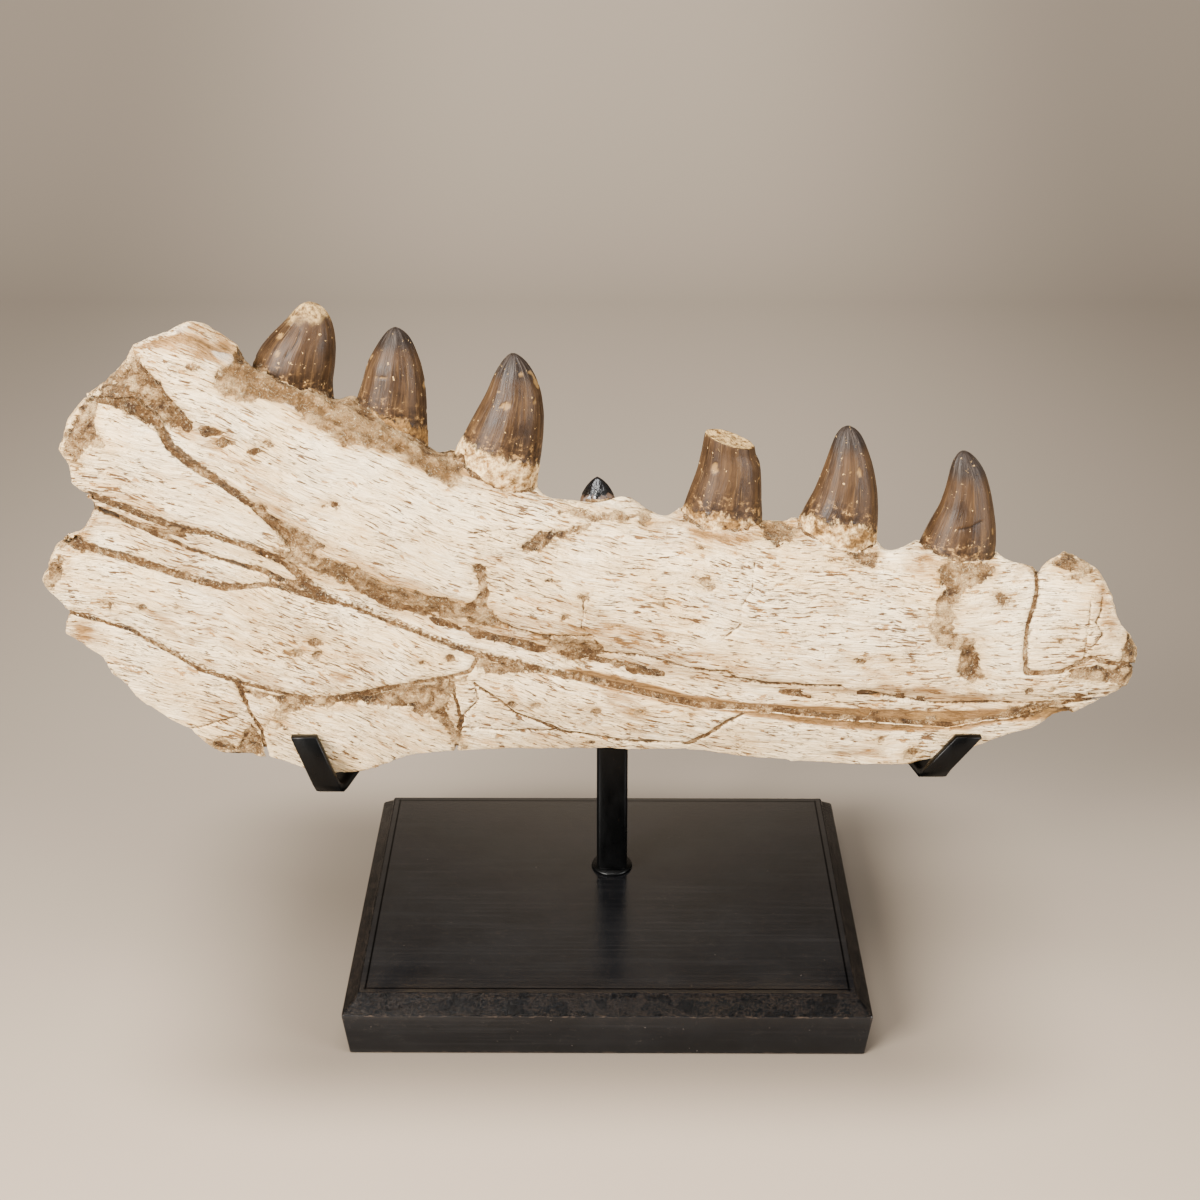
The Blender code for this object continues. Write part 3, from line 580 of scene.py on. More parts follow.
def carve_bone(name, cell):
    """A bone piece's fine surface with its relief, and the values that its material reads."""
    surface = Surface(name, cell)
    normals = surface.normals()
    points = surface.points
    plane = to_plane(points)
    grain = grain_place(points)
    front = smooth_step(-0.05, 0.40, -normals[:, 1])
    faces_viewer = (front > 0.05) | ((normals[:, 2] > 0.25) & (normals[:, 1] < 0.55))
    wobble = np.stack([rough(points, 5.0, 3), rough(points, 5.0, 6)], 1)
    traced = plane + 0.9 * wobble

    # Gentle unevenness everywhere, longer along the fibres than across them
    height = 0.60 * noise(points, 24.0, 1) + 0.42 * rough(grain, (18.0, 2.6, 9.0), 2)
    height += 0.24 * rough(points, 6.0, 9) + 0.20 * rough(grain, (9.0, 1.3, 5.0), 5)

    # Broken edges and the inner side are coarser
    broken = smooth_step(0.60, 0.15, np.abs(normals[:, 1]))
    height += broken * 0.55 * rough(points, 4.0, 12)

    # Sediment patches lie a little lower than the bone and are lumpy
    sediment = np.where(faces_viewer, deepest(traced, SEDIMENT), 5.0 * rough(points, 30.0, 20) - 1.5)
    covered = smooth_step(-0.4, 0.8, sediment)
    lump = rough(points, 4.6, 15) + 0.35 * noise(points, 1.9, 18)
    height += covered * (1.35 * lump - 0.6)

    # Cracks within the piece
    crack = np.full(len(points), FAR_OFF)
    for width, line in INNER_CRACKS:
        distance, _ = line_distance(plane + 0.55 * wobble, on_jaw(line))
        half = 0.5 * width * (1.0 + 0.45 * noise(points, 9.0, 22))
        crack = np.minimum(crack, distance - half)
        groove = np.exp(-(distance / (half + 0.35)) ** 2)
        height -= front * min(1.0, 0.9 * width + 0.25) * groove
    crack = np.where(faces_viewer, crack, FAR_OFF)

    # Pits, the larger ones dark inside
    for px, py, radius in PITS:
        centre = on_jaw(((px, py),))[0]
        distance = np.hypot(*((traced - centre) * (0.75, 1.15)).T)
        height -= front * 0.75 * radius * np.exp(-(distance / radius) ** 2)
        sediment = np.where(faces_viewer, np.maximum(sediment, radius - distance), sediment)
        if radius > 1.9:
            crack = np.where(faces_viewer, np.minimum(crack, distance - 0.45 * radius), crack)

    # The raised shell above the rear hollow
    distance, side = line_distance(plane, on_jaw(SHELL_EDGE))
    hollow = (side < 0) * smooth_step(19.0, 12.0, distance) * smooth_step(-6.0, 2.0, sediment)
    height -= front * hollow * 2.8 * smooth_step(0.0, 1.2, distance)

    # The gutter's floor is undercut, and towards the tip painted shade darkens it brown
    floor = patch_depth(plane + 0.5 * wobble, on_jaw(GUTTER_FLOOR))
    height -= front * 1.1 * smooth_step(-0.3, 1.6, floor)
    stain_and_shade = 1.3 * smooth_step(-0.8, 1.0, floor)
    # Painted shade along the gutter's trough in the middle part of the jaw
    gutter = gutter_height(plane)
    middle_part = smooth_step(-125.0, -95.0, plane[:, 0]) * smooth_step(60.0, 20.0, plane[:, 0])
    beside_gutter = smooth_step(6.0, 2.0, gutter) * smooth_step(-12.0, -7.0, gutter)
    stain_and_shade = np.maximum(stain_and_shade, 0.42 * middle_part * beside_gutter)
    stain = np.zeros(len(points))
    for strength, outline in STAINS:
        stain = np.maximum(stain, strength * smooth_step(-3.0, 3.0, patch_depth(traced, on_jaw(outline))))
    stain *= front
    ridges = rough(grain, (9.0, 2.2, 6.0), 41)
    height += 0.9 * np.minimum(stain, 1.0) * ridges
    stain_and_shade = np.maximum(stain_and_shade * front, stain - 0.75 * ridges * smooth_step(0.0, 0.4, stain))
    # The edge that carries the teeth is lumpy and stained
    below_crest, _ = line_distance(plane, on_jaw(CREST))
    crest = front * smooth_step(15.0, 2.0, below_crest)
    knobs = rough(points, (6.0, 8.0, 6.0), 36)
    height += 0.8 * crest * knobs
    stain_and_shade = np.maximum(stain_and_shade, crest * (0.30 - 0.95 * knobs))
    stain_and_shade += 0.45 * broken * smooth_step(-0.35, 0.4, rough(points, 9.0, 30))
    stain_and_shade += 0.30 * smooth_step(0.05, 0.45, rough(grain, (40.0, 14.0, 30.0), 33))
    pale = front * smooth_step(-0.3, 0.5, deepest(plane + 0.4 * wobble, PALE))
    height += 0.35 * pale

    surface.points = points + normals * height[:, None]
    surface.kept = {
        "grain": grain, "place": points, "sediment": sediment, "crack": crack,
        "stain_and_shade": np.clip(stain_and_shade, 0.0, 1.2), "pale": pale, "lump": lump,
    }
    surface.front = faces_viewer
    surface.out = normals
    return surface


# Which way a side of the jaw faces, against Y
OUTER_SIDE = 1
INNER_SIDE = -1


class DepthMap:
    """How far the jaw's surface stands back from the viewer, on a grid over its middle plane. The inner
    side is measured from behind."""

    low = np.array((-222.0, 78.0))
    high = np.array((212.0, 286.0))
    empty = 1e3

    def __init__(self, cell, facing):
        self.cell = cell
        self.facing = facing
        self.shape = tuple(np.ceil((self.high - self.low) / cell).astype(int) + 1)
        self.depth = np.full(self.shape, self.empty)
        self.owner = np.full(self.shape, -1)

    def cells(self, points):
        """The grid cell in which each point of the jaw is seen."""
        index = np.round((to_plane(points) - self.low) / self.cell).astype(int)
        return np.clip(index, 0, np.array(self.shape) - 1)

    def include(self, points, out, owner):
        seen = out[:, 1] * self.facing < 0.1
        index = self.cells(points[seen])
        depth = points[seen, 1] * self.facing
        order = np.argsort(-depth)
        across, up = index[order].T
        depth = depth[order]
        nearer = depth < self.depth[across, up]
        across, up = across[nearer], up[nearer]
        # Where several points share a cell, the last one written is the nearest
        self.depth[across, up] = depth[nearer]
        self.owner[across, up] = owner

    def spread(self, values, choose, reach):
        """Each cell takes the lowest or highest value within reach."""
        result = values
        for axis in (0, 1):
            layers = [np.roll(result, step, axis) for step in range(-reach, reach + 1)]
            result = choose(np.stack(layers), axis=0)
        return result

    def find_gaps(self, reach, deepest_allowed):
        """Narrow slots, and the depth of the surface round them."""
        closed = self.spread(self.spread(self.depth, np.min, reach), np.max, reach)
        known = closed < self.empty
        total = np.zeros(self.shape)
        weight = np.zeros(self.shape)
        for across in (-2, -1, 0, 1, 2):
            for up in (-2, -1, 0, 1, 2):
                total += np.roll(np.where(known, closed, 0.0), (across, up), (0, 1))
                weight += np.roll(known.astype(float), (across, up), (0, 1))
        self.surface = total / np.maximum(weight, 1.0)
        self.known = known
        # A slot that is seen through counts as covered where bone lies above and below it
        seen = self.depth < self.empty
        bone = (seen & (self.owner < len(BONE_CELLS))).astype(int)
        above = np.maximum.accumulate(bone[:, ::-1], axis=1)[:, ::-1]
        below = np.maximum.accumulate(bone, axis=1)
        covered = self.spread(self.spread(bone, np.max, reach), np.min, reach)
        self.here = seen | ((covered * above * below) > 0)
        owner = np.where(seen, self.owner, self.spread(self.owner, np.max, 1))
        depth = np.where(seen, self.depth, self.spread(self.depth, np.min, 1))
        self.gaps = self.here & (depth - closed > deepest_allowed)
        for shift in ((0, 1), (1, 0), (0, -1), (-1, 0), (1, 1), (-1, -1)):
            other = np.roll(owner, shift, (0, 1))
            self.gaps |= self.here & np.roll(self.here, shift, (0, 1)) & (other != owner)

    def near_gap(self, points, reach):
        """Whether each point lies within some cells of a slot."""
        wide = self.spread(self.gaps.astype(float), np.max, reach) > 0.5
        across, up = self.cells(points).T
        return wide[across, up]

    def fill_mesh(self, name, sunk):
        """A lumpy sheet of sediment just under the surface, wherever there is a slot."""
        wide = self.spread(self.gaps.astype(float), np.max, 2) > 0.5
        wide &= self.known & (self.spread(self.here.astype(int), np.min, 2) > 0)
        number = np.full(self.shape, -1)
        number[wide] = np.arange(wide.sum())
        index = np.argwhere(wide)
        plane = self.low + index * self.cell
        flat = np.stack([plane[:, 0], np.full(len(plane), JAW_MID_Y), plane[:, 1]], 1)
        y = self.facing * (self.surface[wide] + sunk) + 0.35 * rough(flat, 3.0, 50)
        share = (y - FAN_POINT[1]) / (JAW_MID_Y - FAN_POINT[1])
        points = FAN_POINT + (flat - FAN_POINT) * share[:, None]
        a, b = number[:-1, :-1], number[1:, :-1]
        c, d = number[1:, 1:], number[:-1, 1:]
        whole = (a >= 0) & (b >= 0) & (c >= 0) & (d >= 0)
        corners = [a, b, c, d] if self.facing == OUTER_SIDE else [d, c, b, a]
        faces = np.stack([corner[whole] for corner in corners], 1)
        mesh = bpy.data.meshes.new(name)
        mesh.from_pydata((points * MM).tolist(), [], faces.tolist())
        return mesh, points


def keep_values(mesh, kept):
    """Store named values on a mesh for its material."""
    for name, values in kept.items():
        kind, field = ("FLOAT", "value") if values.ndim == 1 else ("FLOAT_VECTOR", "vector")
        attribute = mesh.attributes.new(name, kind, "POINT")
        attribute.data.foreach_set(field, values.astype(np.float32).ravel())


def show_mesh(name, mesh, material, slot, *nodes):
    """Show a mesh as a piece of the jaw that stands for CAD nodes."""
    mesh.materials.clear()
    mesh.materials.append(material)
    shown = add_object(name, mesh)
    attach(shown, "root")
    if nodes:
        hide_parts(*nodes)
    return shown


def make_fill(name, depth_map, sunk, material):
    mesh, points = depth_map.fill_mesh(name, sunk)
    none = np.zeros(len(points))
    keep_values(mesh, {
        "grain": grain_place(points), "place": points, "sediment": none + 3.0,
        "crack": 0.1 + 0.8 * rough(points, 4.0, 60), "stain_and_shade": none, "pale": none,
        "lump": rough(points, 4.6, 15) - 0.2,
    })
    mesh.shade_smooth()
    fill = show_mesh(name, mesh, material, "bone")
    thick = fill.modifiers.new("thickness", "SOLIDIFY")
    thick.thickness = 0.9 * MM
    thick.offset = -1.0


def open_seams(pieces, depth_map, faces):
    """Widen and darken the cracks between pieces: how far each point is from the middle of one."""
    near = [depth_map.near_gap(piece.points, 5) & faces(piece) for piece in pieces]
    flat = [to_plane(piece.points[rows]) for piece, rows in zip(pieces, near)]
    for number, piece in enumerate(pieces):
        others = np.vstack([places for i, places in enumerate(flat) if i != number])
        tree = KDTree(len(others))
        for i, place in enumerate(others):
            tree.insert((place[0], place[1], 0.0), i)
        tree.balance()
        places = flat[number]
        middle = np.array([0.5 * tree.find((x, z, 0.0))[2] for x, z in places])
        half = np.full(len(places), 0.0)
        for width, line in PIECE_CRACKS:
            distance, _ = line_distance(places, on_jaw(line))
            half = np.maximum(half, np.where(distance < 5.0, 0.13 * width, 0.0))
        half *= 1.0 + 0.7 * noise(piece.points[near[number]], 9.0, 44)
        crack = piece.kept["crack"]
        crack[near[number]] = np.minimum(crack[near[number]], middle - half)
        groove = 0.35 + 0.55 * half
        depth = groove * np.exp(-(middle / (half + 0.6)) ** 2)
        piece.points[near[number]] -= piece.out[near[number]] * depth[:, None]


def make_bones(material, teeth):
    pieces = [carve_bone(name, cell) for name, cell in BONE_CELLS.items()]
    front = DepthMap(0.8, OUTER_SIDE)
    back = DepthMap(1.6, INNER_SIDE)
    solids = [(piece.points, piece.out) for piece in pieces] + teeth
    for owner, (points, out) in enumerate(solids):
        front.include(points, out, owner)
        back.include(points, out, owner)
    front.find_gaps(3, 0.9)
    back.find_gaps(2, 1.2)
    open_seams(pieces, front, lambda piece: piece.front)
    open_seams(pieces, back, lambda piece: ~piece.front)
    for piece in pieces:
        keep_values(piece.mesh, piece.kept)
        piece.write()
        piece.mesh.shade_smooth()
        show_mesh("shown_" + piece.name, piece.mesh, material, "bone", piece.name)
    make_fill("sediment_fill", front, 0.8, material)
    make_fill("sediment_fill_inner", back, 0.9, material)


# Each tooth: the edge of its enamel in photo pixels, how far down its tip is grey in millimetres, how
# brown its root is from 0 for bare bone to 1, and its cracks
TEETH = {
    "tooth_1": (((244, 368), (262, 380), (290, 388), (332, 398)), 5.0, 1.0,
                (((300, 330), (297, 342), (285, 358)),)),
    "tooth_2": (((360, 400), (380, 416), (397, 422), (428, 430)), 11.0, 0.9,
                (((376, 419), (388, 418), (396, 422)),)),
    "tooth_3": (((462, 436), (480, 452), (510, 458), (542, 464)), 13.0, 0.36, ()),
    "tooth_4": (((583, 494), (598, 499), (614, 493)), 0.0, 1.0, ()),
    "tooth_5": (((684, 506), (705, 513), (735, 517), (763, 521)), 0.0, 0.62, ()),
    "tooth_6": (((803, 514), (825, 521), (850, 524), (878, 532)), 12.0, 0.55, ()),
    "tooth_7": (((914, 546), (935, 556), (965, 561), (998, 562)), 15.0, 0.55,
                (((958, 530), (972, 527), (982, 522)),)),
}
WORN_TOOTH = "tooth_1"
BLACK_TOOTH = "tooth_4"
BROKEN_TOOTH = "tooth_5"
# How much of the broken tooth's height its rough top takes, and that top's slope towards the tip
BROKEN_OFF = 6.5
BROKEN_TOP_FALL = 0.31
TIP_DOME = 1.2
TOOTH_RADIUS = 9.0
TOOTH_SIDES = 96
RING_STEP = 0.55
CLOSING_RINGS = 12


def tooth_outline(name, heights):
    """A CAD tooth's left, right, front and back at each height."""
    points, edges = mesh_parts(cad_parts[name].data)
    a, b = points[edges[:, 0]], points[edges[:, 1]]
    rows = []
    for height in heights:
        crosses = (a[:, 2] - height) * (b[:, 2] - height) < 0.0
        start, end = a[crosses], b[crosses]
        share = (height - start[:, 2]) / (end[:, 2] - start[:, 2])
        cut = start + share[:, None] * (end - start)
        rows.append((cut[:, 0].min(), cut[:, 0].max(), cut[:, 1].min(), cut[:, 1].max()))
    return np.array(rows)


def even_out(rows, reach):
    """Round off the corners of an outline's columns."""
    padded = np.pad(rows, ((reach, reach), (0, 0)), mode="edge")
    slope = rows[1] - rows[0], rows[-1] - rows[-2]
    for i in range(reach):
        padded[reach - 1 - i] = rows[0] - (i + 1) * slope[0]
        padded[len(rows) + reach + i] = rows[-1] + (i + 1) * slope[1]
    window = np.hanning(2 * reach + 3)[1:-1]
    window /= window.sum()
    return np.stack([np.convolve(padded[:, i], window, "valid") for i in range(rows.shape[1])], 1)


def tooth_rings(name):
    """Fine rings round a tooth from its root to its tip, and the angle of each point."""
    points, _ = mesh_parts(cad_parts[name].data)
    low, high = points[:, 2].min(), points[:, 2].max()
    broken = name == BROKEN_TOOTH
    top = high - BROKEN_OFF if broken else high
    heights = np.arange(low + 0.05, top - 0.05, RING_STEP)
    outline = even_out(tooth_outline(name, heights), 6)
    half = 0.5 * (outline[:, 1] - outline[:, 0])
    depth = 0.5 * (outline[:, 3] - outline[:, 2]) / 0.975
    if broken:
        extra = np.arange(1, 8)
        heights = np.append(heights, heights[-1] + RING_STEP * extra)
        half = np.append(half, half[-1] - 0.10 * extra)
        depth = np.append(depth, depth[-1] - 0.08 * extra)
        middle = 0.5 * (outline[:, :2].sum(1)), 0.5 * (outline[:, 2:].sum(1))
        x = np.append(middle[0], np.full(len(extra), middle[0][-1]))
        y = np.append(middle[1], np.full(len(extra), middle[1][-1]))
        fall = BROKEN_TOP_FALL * smooth_step(heights[-1] - 14.0, heights[-1], heights)
        closing = np.linspace(0.93, 0.02, CLOSING_RINGS)
        heights = np.append(heights, heights[-1] - 0.5 * np.sin(np.linspace(0.2, 3.0, CLOSING_RINGS)))
        half, depth = np.append(half, half[-1] * closing), np.append(depth, depth[-1] * closing)
        x, y = (np.append(line, np.full(CLOSING_RINGS, line[-1])) for line in (x, y))
        fall = np.append(fall, np.full(CLOSING_RINGS, BROKEN_TOP_FALL))
    else:
        bend = np.clip((heights - (top - TIP_DOME)) / TIP_DOME, 0.0, 0.985)
        cap = np.sqrt(1.0 - bend ** 2)
        half, depth = half * cap, depth * cap
        x, y = 0.5 * (outline[:, :2].sum(1)), 0.5 * (outline[:, 2:].sum(1))
        fall = np.zeros(len(heights))
    angle = np.linspace(0.0, 2.0 * pi, TOOTH_SIDES, endpoint=False)
    along = half[:, None] * np.cos(angle)
    rings = np.stack([
        x[:, None] + along,
        y[:, None] + depth[:, None] * np.sin(angle),
        heights[:, None] - fall[:, None] * along,
    ], 2)
    return rings, np.tile(angle, (len(heights), 1)), np.repeat(half[:, None], TOOTH_SIDES, 1)


def ring_mesh(name, rings):
    """A closed mesh through rings of points in millimetres."""
    shape = bmesh.new()
    rows = [[shape.verts.new(point) for point in ring] for ring in rings * MM]
    for row, following in zip(rows, rows[1:]):
        for i in range(len(row)):
            j = (i + 1) % len(row)
            shape.faces.new((row[i], row[j], following[j], following[i]))
    shape.faces.new(rows[0][::-1])
    shape.faces.new(rows[-1])
    return mesh_of(shape, name)


def carve_tooth(name):
    """A tooth's fine surface with facets, cutting edges, cracks and a rough root."""
    edge_line, grey, muddy, cracks = TEETH[name]
    rings, angle, half = tooth_rings(name)
    count = rings.shape[0]
    points = rings.reshape(-1, 3)
    angle, half = angle.ravel(), half.ravel()
    plane = to_plane(points)
    edge = on_jaw(edge_line)
    line_z = np.interp(plane[:, 0], edge[:, 0], edge[:, 1])
    crown = plane[:, 1] - line_z + 1.6 * rough(points, (4.0, 4.0, 9.0), 70)
    turned = np.stack([np.cos(angle) * TOOTH_RADIUS, np.sin(angle) * TOOTH_RADIUS, points[:, 2]], 1)

    on_crown = smooth_step(-0.3, 0.5, crown)
    # Long flat facets and fine wrinkles on the enamel
    out = on_crown * (0.10 * np.cos(9.0 * angle + 0.7) + 0.07 * noise(turned, (1.1, 1.1, 14.0), 71))
    # Cutting edges at the front and the rear of the crown
    for cutting in (0.0, pi):
        away = np.abs((angle - cutting + pi) % (2.0 * pi) - pi)
        out += on_crown * 0.32 * np.exp(-(away / 0.075) ** 2)
    # Chips in the enamel
    chip = smooth_step(0.50, 0.56, rough(points, 5.0, 74)) * on_crown
    out -= 0.22 * chip
    # The root is swollen and lumpy
    out += (1.0 - on_crown) * (0.35 + 0.75 * rough(points, 4.5, 77) + 0.25 * noise(points, 1.8, 79))
    crack = np.full(len(points), FAR_OFF)
    for line in cracks:
        distance, _ = line_distance(plane + 0.3 * np.stack([rough(points, 3.0, 81)] * 2, 1), on_jaw(line))
        crack = np.minimum(crack, distance - 0.15)
        out -= 0.35 * np.exp(-(distance / 0.4) ** 2)
    crack = np.where(points[:, 1] < JAW_MID_Y, crack, FAR_OFF)

    tip = smooth_step(grey, 0.25 * grey, points[:, 2].max() - points[:, 2]) if grey else np.zeros(len(points))
    direction = np.stack([np.cos(angle), np.sin(angle), np.zeros(len(points))], 1)
    taper = smooth_step(0.0, 4.0, half)
    moved = points + direction * (out * taper)[:, None]
    worn = np.zeros(len(points))
    if name == BROKEN_TOOTH:
        broken_top = np.zeros(count)
        broken_top[-CLOSING_RINGS - 1:] = 1.0
        worn = np.repeat(broken_top, TOOTH_SIDES)
        moved[:, 2] += worn * (0.55 * rough(points, 4.0, 83) - 0.3)
    if name == WORN_TOOTH:
        fall = points[:, 2].max() - points[:, 2]
        worn = 0.75 * smooth_step(6.5, 3.0, fall + 2.5 * rough(points, (2.5, 2.5, 4.0), 85))
    moved[:, 2] = np.minimum(moved[:, 2], points[:, 2].max())
    mesh = ring_mesh(name, moved.reshape(rings.shape))
    keep_values(mesh, {
        "turned": turned, "place": points, "crown": crown, "tip": tip, "crack": crack,
        "muddy": np.full(len(points), muddy), "worn": worn, "chip": chip,
    })
    return mesh, moved, direction


def make_enamel_material():
    """Brown fossil enamel with grey tips over a rough bony root."""
    material, tree, shader = new_material("fossil tooth enamel")
    turned, place = [
        add(tree, "Attribute", out="Vector", attribute_name=name) for name in ("turned", "place")
    ]
    crown, tip, crack, muddy, worn, chip = [
        add(tree, "Attribute", out="Fac", attribute_name=name)
        for name in ("crown", "tip", "crack", "muddy", "worn", "chip")
    ]

    # Cloudy along the tooth, with streaks and fine wrinkles that run up the crown
    cloudy = add(tree, "MapRange", (cloud(tree, turned, (7.0, 7.0, 12.0), 5.0, 0.62), 0.35, 0.65))
    streaks = cloud(tree, turned, (1.3, 1.3, 16.0), 5.0, 0.64, 0.3)
    wrinkles = cloud(tree, turned, (0.6, 0.6, 9.0), 3.0, 0.6)
    # Mottled low on the crown, dark with light patches between
    spots = cloud(tree, place, (3.0, 3.0, 2.0), 5.0, 0.68)
    dark_low, light_low = [
        add(tree, "MapRange", (crown, 11.0, 1.0, 0.0, share), interpolation_type=SMOOTH)
        for share in (0.8, 0.75)
    ]
    # Grey tips, darkest at the very end, with painted glints on their wrinkles
    tip_edge = add(tree, "MapRange", (streaks, 0.3, 0.7, -0.25, 0.25))
    wavy_tip = add(tree, "Math", (tip, tip_edge), operation="ADD")
    painted_glint = add(tree, "MapRange", (wavy_tip, 0.3, 1.0, 0.0, 0.35))
    # Tan flecks, chips and worn ends
    flecks = cloud(tree, place, 1.5, 3.0, 0.6)
    fleck = add(tree, "MapRange", (flecks, 0.66, 0.72, 0.0, 0.8), interpolation_type=SMOOTH)
    grit = cloud(tree, place, 2.2, 5.0, 0.72)
    worn_colour = paint(tree, "#4E3417", ((grit, 0.38, 0.62, LINEAR, 1.0, "#C9A56B"),))
    # Root: cream bone and brown sediment below a ragged edge
    ragged = add(tree, "MapRange", (cloud(tree, place, (2.4, 2.4, 5.0), 5.0, 0.68), 0.25, 0.75, -2.8, 2.8))
    below = add(tree, "Math", (crown, ragged), operation="ADD")
    root = add(tree, "MapRange", (below, 0.9, -0.9), interpolation_type=SMOOTH)
    patchy = add(tree, "MapRange", (cloud(tree, place, (5.0, 5.0, 4.0), 5.0, 0.70), 0.34, 0.66, -0.45, 0.45))
    caked = add(tree, "Math", (muddy, patchy), operation="ADD")
    bone_root = paint(tree, "#7C5528", ((grit, 0.36, 0.60, LINEAR, 1.0, "#E2C18A"),))
    mud_root = paint(tree, "#2E1C0B", ((grit, 0.34, 0.64, LINEAR, 1.0, "#8A6537"),))
    colour = paint(tree, "#23160B", (
        (cloudy, 0.0, 1.0, LINEAR, 1.0, "#3E2B19"),
        (streaks, 0.53, 0.70, LINEAR, 0.5, "#5E4427"),
        (streaks, 0.46, 0.30, LINEAR, 0.65, "#180D04"),
        (wrinkles, 0.58, 0.72, LINEAR, 0.35, "#745A3A"),
        (spots, 0.50, 0.60, SMOOTH, dark_low, "#1C1006"),
        (spots, 0.46, 0.34, SMOOTH, light_low, "#9A7648"),
        (wavy_tip, 0.1, 0.95, SMOOTH, 0.88, "#17110D"),
        # Painted glints: lighter grey on the wrinkles near the tips
        (wrinkles, 0.52, 0.66, LINEAR, painted_glint, "#6C6056"),
        (fleck, 0.0, 1.0, LINEAR, 1.0, "#B5935F"),
        (chip, 0.0, 1.0, LINEAR, 0.55, "#8F6E40"),
        (worn, 0.0, 1.0, LINEAR, 1.0, worn_colour),
        (root, 0.0, 1.0, LINEAR, 1.0, paint(tree, bone_root, ((caked, 0.2, 0.8, SMOOTH, 1.0, mud_root),))),
        (crack, 0.35, 0.0, LINEAR, 0.9, "#170D05"),
    ))

    coarse = add(tree, "Math", (root, worn), operation="MAXIMUM")
    rough_grit = add(tree, "Math", (grit, coarse), operation="MULTIPLY")
    relief = add_up(tree, ((streaks, 0.16), (wrinkles, 0.16), (fleck, 0.05), (rough_grit, 1.1)))
    satin = add(tree, "MapRange", (cloudy, 0.0, 1.0, 0.36, 0.50))
    dull = add(tree, "Math", (coarse, 0.85), operation="MULTIPLY")
    dress(tree, shader, colour, add(tree, "Math", (satin, dull), operation="MAXIMUM"), 0.15, relief)
    return material


def make_black_enamel_material():
    """The small replacement tooth: glossy black, with a rusty ragged foot."""
    material, tree, shader = new_material("black tooth enamel")
    place = add(tree, "Attribute", out="Vector", attribute_name="place")
    crown = add(tree, "Attribute", out="Fac", attribute_name="crown")
    ragged = add(tree, "MapRange", (cloud(tree, place, (1.6, 1.6, 3.0), 3.0, 0.6), 0.25, 0.75, -1.8, 1.8))
    below = add(tree, "Math", (crown, ragged), operation="ADD")
    foot = add(tree, "MapRange", (below, 0.9, -0.9), interpolation_type=SMOOTH)
    colour = paint(tree, "#080707", ((foot, 0.0, 1.0, LINEAR, 1.0, "#3A2614"),))
    relief = add_up(tree, ((cloud(tree, place, (2.0, 2.0, 3.5), 3.0, 0.6), 0.5),))
    dress(tree, shader, colour, add(tree, "MapRange", (foot, 0.0, 1.0, 0.16, 0.6)), 0.5, relief)
    return material


def make_teeth():
    enamel = make_enamel_material()
    black_enamel = make_black_enamel_material()
    carved = []
    for name in TEETH:
        mesh, points, out = carve_tooth(name)
        look, slot = (black_enamel, "black_tooth_enamel") if name == BLACK_TOOTH else (enamel, "tooth_enamel")
        show_mesh("shown_" + name, mesh, look, slot, name)
        carved.append((points, out))
    return carved


# The base's box, read from the frame, then its bevel's foot and its panel's edges in metres
BASE_LOW, BASE_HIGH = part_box("stand_base")
BEVEL_FOOT = 0.018
PANEL_SIDE = 0.0929
PANEL_FRONT = 0.0675


def position_part(tree, axis):
    """One coordinate of the place on the object, in metres."""
    return add(tree, "SeparateXYZ", (add(tree, "NewGeometry", out="Position"),), out=axis)


def position_mm(tree):
    """The place on the object in millimetres."""
    place = add(tree, "NewGeometry", out="Position")
    return add(tree, "VectorMath", (place, (1.0 / MM, 1.0 / MM, 1.0 / MM)), operation="MULTIPLY")


